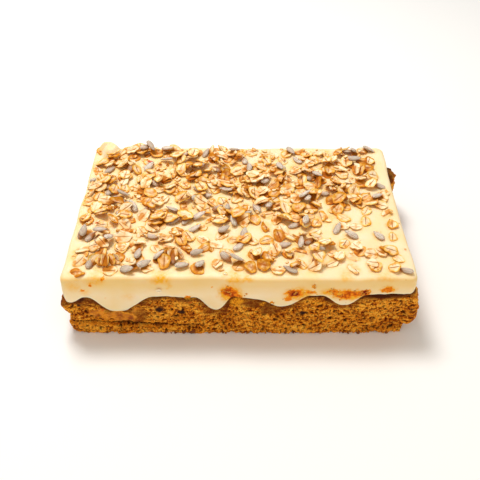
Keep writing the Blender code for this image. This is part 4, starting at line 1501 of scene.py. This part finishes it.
@dataclass
class Strewing:
    """Oat flakes, sunflower kernels and bits of both, strewn over the icing."""

    slab: Slab
    seed: int = 23
    first_count: int = 300
    more_flakes: int = 150
    bits: int = 230
    top_kernels: int = 3
    top_kernels_at: tuple[tuple[float, float, float], ...] = (
        (-0.0625, 0.0580, -50),
        (-0.0512, 0.0590, 0),
        (-0.0237, 0.0570, 70),
        (-0.0030, 0.0580, 20),
        (0.0370, 0.0585, -60),
        (0.0816, 0.0578, 80),
        (0.0810, 0.0468, 0),
        (0.0935, 0.0608, -15),
        (-0.0985, 0.0240, -60),
        (-0.0950, -0.0290, 80),
        (0.0280, 0.0360, -65),
        (0.0530, 0.0270, -45),
        (0.0905, 0.0060, 35),
        (0.0610, -0.0240, 65),
        (0.0430, 0.0060, 30),
    )
    tries: int = 2
    nesting: float = 0.72
    steep_share: float = 0.10
    chip_at: tuple[float, float, float] = (-0.0465, -0.0676, 0.0398)
    chip_size: tuple[float, float, float] = (0.0036, 0.0024, 0.0007)
    chip_tilt: float = 78
    fan_flake: Size = (0.0086, 0.0056, 0.0011)
    fan_reach: tuple[float, float] = (0.0082, 0.0045)
    fan_back: float = 0.0040
    fan_rise: float = 0.0021
    fan_lean: float = 54
    fan_heap: Size = (0.001, 0.0075, 0.0035)
    fans: tuple[tuple[float, float, tuple[float, ...]], ...] = (
        (-0.0790, -0.0520, (-52, -33, -16, -3, 12, 30, 50)),
        (-0.0400, -0.0470, (-38, -20, -4, 14, 34)),
    )
    placed_below: float = -0.0365
    flakes_at: tuple[tuple[float, float, float], ...] = (
        (-0.0936, -0.0525, 50),
        (-0.0939, -0.0427, 20),
        (-0.0936, -0.0610, 0),
        (-0.0866, -0.0411, 0),
        (-0.0700, -0.0401, 30),
        (-0.0639, -0.0545, -35),
        (-0.0601, -0.0380, 20),
        (0.0113, -0.0469, -70),
        (0.0143, -0.0570, -20),
        (0.0226, -0.0598, -10),
        (0.0315, -0.0469, 5),
        (0.0333, -0.0570, 55),
        (0.0442, -0.0578, 10),
        (0.0447, -0.0443, -60),
        (0.0461, -0.0525, -50),
        (0.0517, -0.0390, 30),
        (0.0594, -0.0484, 60),
        (0.0706, -0.0401, -60),
        (0.0784, -0.0464, 0),
        (0.0797, -0.0540, -5),
        (0.0907, -0.0443, -15),
        (0.0903, -0.0584, -20),
    )
    kernels_at: tuple[tuple[float, float, float], ...] = (
        (-0.0599, -0.0469, 80),
        (-0.0472, -0.0495, 30),
        (-0.0225, -0.0553, 62),
        (-0.0332, -0.0566, 10),
        (-0.0077, -0.0503, -48),
        (-0.0012, -0.0520, -12),
        (-0.0552, -0.0560, 40),
        (-0.0649, -0.0600, -14),
        (0.0000, -0.0396, 50),
        (0.0375, -0.0370, 84),
        (-0.0965, -0.0291, 75),
        (-0.0847, -0.0297, 4),
        (-0.0760, 0.0090, -8),
        (-0.0270, 0.0036, 4),
        (-0.0073, -0.0049, 86),
        (-0.0277, -0.0241, 34),
        (-0.0093, -0.0252, 32),
    )
    browned_at: tuple[tuple[float, float], ...] = ((-0.0936, -0.0610), (0.0143, -0.0570))
    kernel_share: float = 0.20
    flake_length: tuple[float, float] = (0.0076, 0.0098)
    upper_flake_length: tuple[float, float] = (0.0088, 0.0112)
    flake_shape: tuple[float, float] = (0.66, 0.84)
    flake_thickness: float = 0.0011
    kernel_length: tuple[float, float] = (0.0084, 0.0102)
    kernel_width: float = 0.0046
    kernel_thickness: float = 0.0026
    bit_length: tuple[float, float] = (0.0012, 0.0042)
    bit_shape: tuple[float, float] = (0.45, 0.9)
    bit_thickness: float = 0.0007
    crowding: float = 1.4
    random_lean: float = 0.07
    upper_lean: float = 0.112
    steep_lean: float = 0.55
    kernel_lean: float = 0.10
    margin: float = 0.0055
    rim_margin: float = 0.0026
    dense_from: float = -0.020
    sparse_share: float = 0.36
    closest: tuple[float, float] = (0.50, 0.95)
    patches: tuple[Patch, ...] = (
        Patch(0.017, -0.021, 0.013, 0.012, 0.04),
        Patch(0.076, -0.026, 0.030, 0.030, 0.10),
        Patch(0.099, 0.035, 0.013, 0.040, 0.02),
        Patch(-0.097, -0.040, 0.012, 0.024, 0.10),
        Patch(-0.052, -0.032, 0.012, 0.010, 0.10),
        Patch(-0.080, -0.049, 0.014, 0.011, 0.90),
        Patch(-0.036, -0.049, 0.013, 0.011, 0.75),
        Patch(-0.008, -0.047, 0.011, 0.011, 0.80),
        Patch(0.036, -0.045, 0.018, 0.013, 1.00),
        Patch(0.068, -0.044, 0.009, 0.009, 0.90),
        Patch(0.015, 0.015, 0.030, 0.022, 1.60),
    )
    upper_patches: tuple[Patch, ...] = (
        Patch(-0.078, -0.030, 0.022, 0.012, 1.30),
        Patch(-0.045, -0.027, 0.018, 0.010, 1.10),
        Patch(0.036, -0.029, 0.017, 0.012, 1.10),
        Patch(-0.062, 0.052, 0.012, 0.007, 0.15),
        Patch(0.000, 0.047, 0.012, 0.007, 0.15),
        Patch(0.085, 0.048, 0.010, 0.010, 0.15),
    )

    def strewn_share(self, x: float, y: float, patches: tuple[Patch, ...]) -> float:
        """How thickly the top is strewn.

        Args:
            x: A place along the slab.
            y: The place across the slab.
            patches: The areas that count.

        Returns:
            The share there.
        """
        share = 1.0 if y > self.dense_from else self.sparse_share
        for patch in patches:
            share += (patch.share - share) * patch.hold(x, y)
        return share

    def scatter(self, draw: random.Random, count: int) -> list[tuple[float, float]]:
        """Places for toppings: random, no two too close, and as many anywhere as the top is strewn there.

        Args:
            draw: The source of random numbers.
            count: How many places.

        Returns:
            The places.
        """
        half_x, half_y = self.slab.length / 2 - self.margin, self.slab.depth / 2 - self.margin
        apart = math.sqrt(self.slab.length * self.slab.depth / count)
        most = max(patch.share for patch in self.patches)
        places: list[tuple[float, float]] = []
        while len(places) < count:
            x, y = draw.uniform(-half_x, half_x), draw.uniform(-half_y, half_y)
            clear = apart * draw.uniform(*self.closest)
            if draw.random() * most > self.strewn_share(x, y, self.patches):
                continue
            if all(math.hypot(x - px, y - py) > clear for px, py in places):
                places.append((x, y))
        return places

    def low_place(self, draw: random.Random, surface: Surface, lowest: float) -> tuple[float, float]:
        """Of several random places that are to be strewn, the one where least lies yet.

        Args:
            draw: The source of random numbers.
            surface: What already lies on the icing.
            lowest: No place has a smaller y than this.

        Returns:
            The place.
        """
        half_x, half_y = self.slab.length / 2 - self.rim_margin, self.slab.depth / 2 - self.rim_margin
        most = max(patch.share for patch in self.patches)
        found: list[tuple[float, float, float]] = []
        while len(found) < self.tries:
            x, y = draw.uniform(-half_x, half_x), draw.uniform(-half_y, half_y)
            share = self.strewn_share(x, y, self.patches + self.upper_patches)
            if draw.random() * most < share**self.crowding and y > lowest:
                found.append((surface.level(x, y), x, y))
        return min(found)[1:]

    def fan(
        self, surface: Surface, middle_x: float, middle_y: float, turns: tuple[float, ...]
    ) -> list[Topping]:
        """A few flakes that stand on edge side by side, spread like a fan.

        Args:
            surface: What already lies on the icing, which the fan's heap is added to.
            middle_x: The fan's middle along the slab.
            middle_y: Its middle across the slab.
            turns: Each flake's turn in degrees.

        Returns:
            The flakes.
        """
        made = []
        for turn in turns:
            way = math.radians(turn)
            x = middle_x + self.fan_reach[0] * math.sin(way)
            y = middle_y + self.fan_back - self.fan_reach[1] * math.cos(way)
            lean = math.radians(self.fan_lean if turn > 0 else 180 - self.fan_lean)
            stand = Matrix.Rotation(way - math.pi / 2, 4, "Z") @ Matrix.Rotation(lean, 4, "X")
            lift = Matrix.Translation((x, y, self.slab.height + self.fan_rise))
            made.append(Topping(Kind.FLAKE, self.fan_flake, lift @ stand))
        forward, reach, top = self.fan_heap
        # The heap also raises the height map, so that painted shade falls on the fan's lower parts and on the
        # icing round them.
        surface.raise_to(middle_x, middle_y - forward, reach, self.slab.height + top)
        return made

    def draw_size(
        self, draw: random.Random, kind: Kind, flake_length: tuple[float, float] | None = None
    ) -> Size:
        """Draws the length, width and thickness of one piece.

        Args:
            draw: The source of random numbers.
            kind: What the piece is.
            flake_length: The range of a flake's length, where it isn't the usual one.

        Returns:
            The length, width and thickness.
        """
        if kind is Kind.KERNEL:
            return draw.uniform(*self.kernel_length), self.kernel_width, self.kernel_thickness
        if kind is Kind.BIT:
            length = draw.uniform(*self.bit_length)
            return length, length * draw.uniform(*self.bit_shape), self.bit_thickness
        length = draw.uniform(*(flake_length or self.flake_length))
        return length, length * draw.uniform(*self.flake_shape), self.flake_thickness

    @staticmethod
    def draw_sway(draw: random.Random, lean: float) -> tuple[float, float]:
        """Draws the slopes at which a piece lies askew, along and across it."""
        return draw.gauss(0, lean), draw.gauss(0, lean)

    def strew(self) -> tuple[list[Topping], Surface]:
        """Lays all toppings down.

        Returns:
            The toppings, lowest first: the ones that the solid has too, then more on top of them; and the
            height map of the strewn top.
        """
        draw = random.Random(self.seed)
        surface = Surface(self.slab)
        laid = []
        for x, y in self.scatter(draw, self.first_count):
            kind = Kind.KERNEL if draw.random() < self.kernel_share else Kind.FLAKE
            size = self.draw_size(draw, kind)
            sway = self.draw_sway(draw, self.random_lean)
            laid.append(Topping(kind, size, surface.settle(x, y, draw.uniform(0, math.pi), size, sway)))
        for kind, places in ((Kind.FLAKE, self.flakes_at), (Kind.KERNEL, self.kernels_at)):
            for x, y, turn in places:
                size = self.draw_size(draw, kind)
                sway = self.draw_sway(draw, self.random_lean)
                place_at = surface.settle(x, y, math.radians(turn), size, sway, 0.9)
                laid.append(Topping(kind, size, place_at, 1.0 if (x, y) in self.browned_at else None))
        for fan in self.fans:
            laid += self.fan(surface, *fan)
        for kind in [Kind.FLAKE] * self.more_flakes + [Kind.BIT] * self.bits:
            x, y = self.low_place(draw, surface, -1.0 if kind is Kind.BIT else self.placed_below)
            size = self.draw_size(draw, kind, self.upper_flake_length)
            steep = kind is Kind.FLAKE and draw.random() < self.steep_share
            spread = self.steep_lean if steep else self.upper_lean
            sway = (draw.gauss(0, spread / 2), draw.gauss(0, spread))
            yaw = draw.uniform(0, math.pi)
            laid.append(Topping(kind, size, surface.settle(x, y, yaw, size, sway, self.nesting)))
        anywhere = [(x, y, draw.uniform(0, 180)) for x, y in self.scatter(draw, self.top_kernels)]
        for x, y, turn in anywhere + list(self.top_kernels_at):
            size = self.draw_size(draw, Kind.KERNEL)
            sway = self.draw_sway(draw, self.kernel_lean)
            place_at = surface.settle(x, y, math.radians(turn), size, sway, self.nesting)
            laid.append(Topping(Kind.KERNEL, size, place_at))
        chip = Matrix.Translation(self.chip_at) @ Matrix.Rotation(math.radians(self.chip_tilt), 4, "X")
        laid.append(Topping(Kind.BIT, self.chip_size, chip, 0.0))
        return laid, surface


@dataclass
class OatFlakes:
    """Rolled oats: thin oval wafers, cupped or twisted, with a crease along the middle."""

    finish: ToastedOat = field(default_factory=ToastedOat)
    seed: int = 7
    cells: int = 6
    toasting: tuple[float, float] = (0.48, 0.24)
    broken_share: float = 0.28
    thickness: float = 0.00058
    sink: float = 0.0004
    turned_share: float = 0.35
    notched_share: float = 0.3
    groove_depth: float = 0.16
    groove_width: float = 0.22
    outline_waves: tuple[float, float] = (0.07, 0.05)
    ruffle: float = 0.05

    def flake(self, draw: random.Random, size: Size) -> Shape:
        """Shapes one flake.

        Args:
            draw: The source of random numbers.
            size: Its length, width and thickness.

        Returns:
            The flake round its own middle; each vertex also holds its place on it, from -1 to 1.
        """
        length, width = size[:2]
        shape = bmesh.new()
        bmesh.ops.create_grid(shape, x_segments=self.cells, y_segments=self.cells, size=1.0)
        if draw.random() < self.broken_share:
            turn, cut = draw.uniform(0, FULL_TURN), draw.uniform(-0.1, 0.5)
            way = Vector((math.cos(turn), math.sin(turn), 0))
            everything = shape.verts[:] + shape.edges[:] + shape.faces[:]
            bmesh.ops.bisect_plane(shape, geom=everything, plane_co=way * cut, plane_no=way, clear_outer=True)
        cup, roll, twist = draw.gauss(0.04, 0.08), draw.gauss(0.08, 0.16), draw.gauss(0, 0.14)
        notched = draw.random() < self.notched_share
        phase = draw.uniform(0, FULL_TURN)
        local = shape.verts.layers.float_vector.new("local")
        for vertex in shape.verts:
            u, v = vertex.co.x, vertex.co.y
            x, y = u * math.sqrt(1 - v * v / 2), v * math.sqrt(1 - u * u / 2)
            round_it = math.atan2(y, x)
            ragged = 1 + self.outline_waves[0] * math.sin(3 * round_it + phase)
            ragged += self.outline_waves[1] * math.sin(5 * round_it - phase)
            vertex[local] = (x, y, 0)
            groove = -self.groove_depth * math.exp(-((y / self.groove_width) ** 2)) * (1 - x * x)
            lift = cup * x * x + roll * y * y + twist * x * y
            notch = 0.12 * notched * max(0.0, abs(x) - 0.7) * math.exp(-((y / 0.25) ** 2))
            ruffle = self.ruffle * math.sin(7 * round_it + 2 * phase) * (x * x + y * y)
            vertex.co = (
                x * ragged * length / 2 * (1 - notch),
                y * ragged * width / 2,
                (lift + ruffle + 0.6 * groove) * width / 2 + self.thickness / 2,
            )
        bmesh.ops.solidify(shape, geom=shape.faces[:], thickness=self.thickness)
        bmesh.ops.recalc_face_normals(shape, faces=shape.faces[:])
        return shape

    def build(self, toppings: list[Topping], crowd: TopMap) -> bpy.types.Object:
        """Shapes every flake, lays each in its place and joins them into one piece.

        Args:
            toppings: The flakes to shape.
            crowd: The mean height of the toppings round each place.

        Returns:
            The piece.
        """
        draw = random.Random(self.seed)
        whole = bmesh.new()
        whole.verts.layers.float_vector.new("local")
        toast, creased = whole.verts.layers.float.new("toast"), whole.verts.layers.float.new("creased")
        part = bpy.data.meshes.new("flake")
        for topping in toppings:
            shape = self.flake(draw, topping.size)
            turned = draw.random() < self.turned_share
            flip = Matrix.Rotation(math.pi, 4, "X") if turned else Matrix.Identity(4)
            matrix = Matrix.Translation((0, 0, -self.sink)) @ topping.place @ flip
            bmesh.ops.transform(shape, matrix=matrix, verts=shape.verts)
            shape.to_mesh(part)
            shape.free()
            first = len(whole.verts)
            whole.from_mesh(part)
            whole.verts.ensure_lookup_table()
            tone = topping.toast
            if tone is None:
                tone = min(1.0, max(0.0, draw.gauss(*self.toasting)))
            strength = draw.choice((1.0, 1.0, 0.7, 0.3))
            for vertex in whole.verts[first:]:
                vertex[toast], vertex[creased] = tone, strength
        bpy.data.meshes.remove(part)
        crowd.bury(whole)
        return finish_piece("oat_flakes", whole, self.finish.build(), 48)


@dataclass
class SunflowerKernels:
    """Hulled sunflower seeds: flat drops with a pointed end."""

    finish: KernelSkin = field(default_factory=KernelSkin)
    seed: int = 9
    sides: int = 10
    rings: int = 8
    sink: float = 0.0005
    taper: float = 0.42
    point: float = 0.4
    ridge: float = 0.10
    breadth: float = 1.22

    def kernel(self, draw: random.Random, size: Size) -> Shape:
        """Shapes one kernel.

        Args:
            draw: The source of random numbers.
            size: Its length, width and thickness.

        Returns:
            The kernel round its own middle; each vertex also holds its place on it, from -1 to 1.
        """
        length, width, thickness = size
        shape = bmesh.new()
        bmesh.ops.create_uvsphere(shape, u_segments=self.sides, v_segments=self.rings, radius=1.0)
        local = shape.verts.layers.float_vector.new("local")
        bend = draw.gauss(0, 0.05)
        fullness = draw.uniform(0.9, 1.1)
        for vertex in shape.verts:
            x, y, z = vertex.co.z, vertex.co.y, -vertex.co.x
            vertex[local] = (x, y, z)
            taper = (1 - self.taper * (x + 1) / 2) * (1 - self.point * max(0.0, x) ** 2) * fullness
            ridge = 1 + self.ridge * math.exp(-((y / 0.2) ** 2))
            across = y * width / 2 * taper * self.breadth
            up = z * thickness / 2 * taper * ridge + bend * x * x * length / 2
            vertex.co = (x * length / 2, across, up)
        bmesh.ops.recalc_face_normals(shape, faces=shape.faces[:])
        return shape

    def build(self, toppings: list[Topping], crowd: TopMap) -> bpy.types.Object:
        """Shapes every kernel, lays each in its place and joins them into one piece.

        Args:
            toppings: The kernels to shape.
            crowd: The mean height of the toppings round each place.

        Returns:
            The piece.
        """
        draw = random.Random(self.seed)
        whole = bmesh.new()
        whole.verts.layers.float_vector.new("local")
        toast = whole.verts.layers.float.new("toast")
        part = bpy.data.meshes.new("kernel")
        for topping in toppings:
            shape = self.kernel(draw, topping.size)
            matrix = Matrix.Translation((0, 0, -self.sink)) @ topping.place
            bmesh.ops.transform(shape, matrix=matrix, verts=shape.verts)
            shape.to_mesh(part)
            shape.free()
            first = len(whole.verts)
            whole.from_mesh(part)
            whole.verts.ensure_lookup_table()
            tone = draw.random()
            for vertex in whole.verts[first:]:
                vertex[toast] = tone
        bpy.data.meshes.remove(part)
        crowd.bury(whole)
        return finish_piece("sunflower_kernels", whole, self.finish.build())


@dataclass
class OatBits(OatFlakes):
    """Broken bits of flake: the same wafer, smaller and rougher."""

    seed: int = 8
    cells: int = 3
    toasting: tuple[float, float] = (0.72, 0.22)
    thickness: float = 0.0006
    sink: float = 0.0003

    def build(self, toppings: list[Topping], crowd: TopMap) -> bpy.types.Object:
        """Shapes every bit and joins them into one piece.

        Args:
            toppings: The bits to shape.
            crowd: The mean height of the toppings round each place.

        Returns:
            The piece.
        """
        piece = super().build(toppings, crowd)
        piece.name = piece.data.name = "oat_bits"
        return piece


@dataclass
class LooseCrumbs:
    """Crumbs that stick to the icing's face where the knife dragged them, and that lie round the foot."""

    slab: Slab
    finish: LooseCrumb = field(default_factory=LooseCrumb)
    seed: int = 12
    on_smear: int = 6
    at_foot: int = 150
    radius: tuple[float, float] = (0.00025, 0.00085)
    clumps: tuple[tuple[float, float], ...] = (
        (-0.0820, 0.0009),
        (-0.0460, 0.0009),
        (-0.0395, 0.0011),
        (-0.0345, 0.0014),
        (-0.0285, 0.0018),
        (-0.0300, 0.0012),
        (-0.0100, 0.0009),
        (0.0220, 0.0008),
        (0.0340, 0.0009),
    )

    def places(self, draw: random.Random, icing: Icing, sponge: Sponge) -> list[tuple[Vector, float, float]]:
        """Draws where the crumbs lie.

        Args:
            draw: The source of random numbers.
            icing: The icing, for its smears and its face.
            sponge: The sponge, for the outline of its foot.

        Returns:
            The middle and the radius of each crumb, and how browned it is.
        """
        found = []
        for spot in icing.smears:
            for _ in range(round(self.on_smear * spot.strength)):
                x = draw.gauss(spot.x, spot.reach_x / 2.4)
                z = draw.gauss(spot.z, spot.reach_z / 2.4)
                face = Stations(*(np.array([value]) for value in (x, -self.slab.depth / 2, 0.0, -1.0)))
                if z < float(self.slab.boundary(face)[0]) + 0.001:
                    continue
                radius = draw.uniform(*self.radius)
                y = -self.slab.depth / 2 - icing.proud - float(icing.stray(face)[0]) - 0.3 * radius
                found.append((Vector((x, y, z)), radius, 0.0))
        across, along = walk(200, 130)
        rim = self.slab.stations(across, along)
        foot = rim.outward(sponge.bulges(rim, np.full(len(across), 0.001)))
        for _ in range(self.at_foot):
            i = draw.randrange(len(foot))
            radius = draw.uniform(*self.radius) * draw.choice((1.0, 1.0, 1.6))
            away = draw.uniform(-0.6, 0.8) * radius
            middle = (foot[i, 0] + rim.nx[i] * away, foot[i, 1] + rim.ny[i] * away, radius * 0.8)
            found.append((Vector(middle), radius, draw.choice((0.2, 0.5, 0.8))))
        for x, radius in self.clumps:
            found.append((Vector((x, -self.slab.depth / 2 - sponge.front_foot, radius * 0.8)), radius, 0.9))
        return found

    def build(self, icing: Icing, sponge: Sponge) -> bpy.types.Object:
        """Shapes every crumb as a dented little ball and joins them into one piece.

        Args:
            icing: The icing, for its smears and its face.
            sponge: The sponge, for the outline of its foot.

        Returns:
            The piece.
        """
        draw = random.Random(self.seed)
        whole = bmesh.new()
        tones = whole.verts.layers.float.new("browned")
        for middle, radius, browned in self.places(draw, icing, sponge):
            first = len(whole.verts)
            bmesh.ops.create_icosphere(whole, subdivisions=1, radius=radius)
            whole.verts.ensure_lookup_table()
            for vertex in whole.verts[first:]:
                vertex.co = vertex.co * draw.uniform(0.7, 1.25)
                vertex.co.z = max(vertex.co.z, -0.75 * radius)
                vertex.co += middle
                vertex[tones] = browned
        return finish_piece("loose_crumbs", whole, self.finish.build())


@dataclass
class CarrotShreds:
    """Shreds of grated carrot among the toppings: each place, its turn in degrees and half its length."""

    finish: CarrotShred = field(default_factory=CarrotShred)
    shreds_at: tuple[tuple[float, float, float, float], ...] = (
        (-0.0620, 0.0450, -25, 0.0028),
        (-0.0890, -0.0200, 40, 0.0012),
    )
    flatness: tuple[float, float] = (0.36, 0.22)
    lift: float = 0.0007

    def build(self, top: Surface) -> bpy.types.Object:
        """Lays every shred on what is below it and joins them into one piece.

        Args:
            top: The height map of the strewn top.

        Returns:
            The piece.
        """
        whole = bmesh.new()
        for x, y, turn, reach in self.shreds_at:
            made = bmesh.ops.create_icosphere(whole, subdivisions=2, radius=reach)["verts"]
            lie = Matrix.Translation((x, y, top.level(x, y, reach / 2) + self.lift))
            turned = lie @ Matrix.Rotation(math.radians(turn), 4, "Z")
            flat = Matrix.Diagonal((1.0, *self.flatness, 1.0))
            bmesh.ops.transform(whole, matrix=turned @ flat, verts=made)
        return finish_piece("carrot_shreds", whole, self.finish.build())


@dataclass(frozen=True)
class SoftLight:
    """A square area light: its place, the length of its side, its power in watts and its colour."""

    name: str
    place: Size
    size: float
    power: float
    colour: str

    def build(self) -> None:
        """Adds the light, turned to the slab's middle."""
        lamp = bpy.data.lights.new(self.name, "AREA")
        lamp.size, lamp.energy = self.size, self.power
        lamp.color = linear(self.colour)[:3]
        holder = bpy.data.objects.new(self.name, lamp)
        holder.location = self.place
        middle = Vector((0, 0, 0.03))
        holder.rotation_euler = (middle - Vector(self.place)).to_track_quat("-Z", "Y").to_euler()
        bpy.context.scene.collection.objects.link(holder)


@dataclass
class Studio:
    """The camera, the soft lights and the pale floor."""

    camera_at: tuple[float, float, float] = (0.0006, -0.3128, 0.3088)
    elevation: float = 43.0
    focal_length: float = 46.93
    sensor: float = 36.0
    sky_colour: str = "#fffaf0"
    sky_strength: float = 0.56
    floor_size: float = 4.0
    floor_finish: WhiteBoard = field(default_factory=WhiteBoard)
    lights: tuple[SoftLight, ...] = (
        SoftLight("key", (-0.20, 0.28, 0.85), 0.28, 6.4, "#fffcf6"),
        SoftLight("fill", (0.20, -0.80, 0.45), 0.70, 1.5, "#ffe0aa"),
    )

    def build(self) -> None:
        """Sets up the camera, the area lights, an even sky and the floor."""
        camera = bpy.data.cameras.new("camera")
        camera.lens, camera.sensor_width = self.focal_length, self.sensor
        camera.clip_start = 0.01
        holder = bpy.data.objects.new("camera", camera)
        holder.location = self.camera_at
        holder.rotation_euler = (math.radians(90 - self.elevation), 0, 0)
        bpy.context.scene.collection.objects.link(holder)
        bpy.context.scene.camera = holder
        for light in self.lights:
            light.build()
        world = bpy.data.worlds.new("sky")
        world.use_nodes = True
        world.node_tree.nodes["Background"].inputs["Color"].default_value = linear(self.sky_colour)
        world.node_tree.nodes["Background"].inputs["Strength"].default_value = self.sky_strength
        bpy.context.scene.world = world
        bpy.context.scene.view_settings.view_transform = "Standard"
        shape = bmesh.new()
        bmesh.ops.create_grid(shape, x_segments=1, y_segments=1, size=self.floor_size)
        mesh = bpy.data.meshes.new("floor")
        shape.to_mesh(mesh)
        shape.free()
        mesh.materials.append(self.floor_finish.build())
        floor = bpy.data.objects.new("floor", mesh)
        bpy.context.scene.collection.objects.link(floor)


def main() -> None:
    """Builds every piece in order and logs how many faces each has."""
    logging.basicConfig(level=logging.INFO, format="%(message)s")
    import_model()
    slab = Slab()
    Studio().build()
    toppings, top = Strewing(slab).strew()
    kinds = {kind: [t for t in toppings if t.kind is kind] for kind in Kind}
    sponge, icing, crowd = Sponge(slab), Icing(slab, top.warm_shade_halo()), top.crowd()
    pieces = [
        sponge.build(),
        icing.build(),
        LooseCrumbs(slab).build(icing, sponge),
        CarrotShreds().build(top),
        OatFlakes().build(kinds[Kind.FLAKE], crowd),
        SunflowerKernels().build(kinds[Kind.KERNEL], crowd),
        OatBits().build(kinds[Kind.BIT], crowd),
    ]
    for piece in pieces:
        LOG.info("%s: %d faces", piece.name, len(piece.data.polygons))


if __name__ == "__main__":
    main()
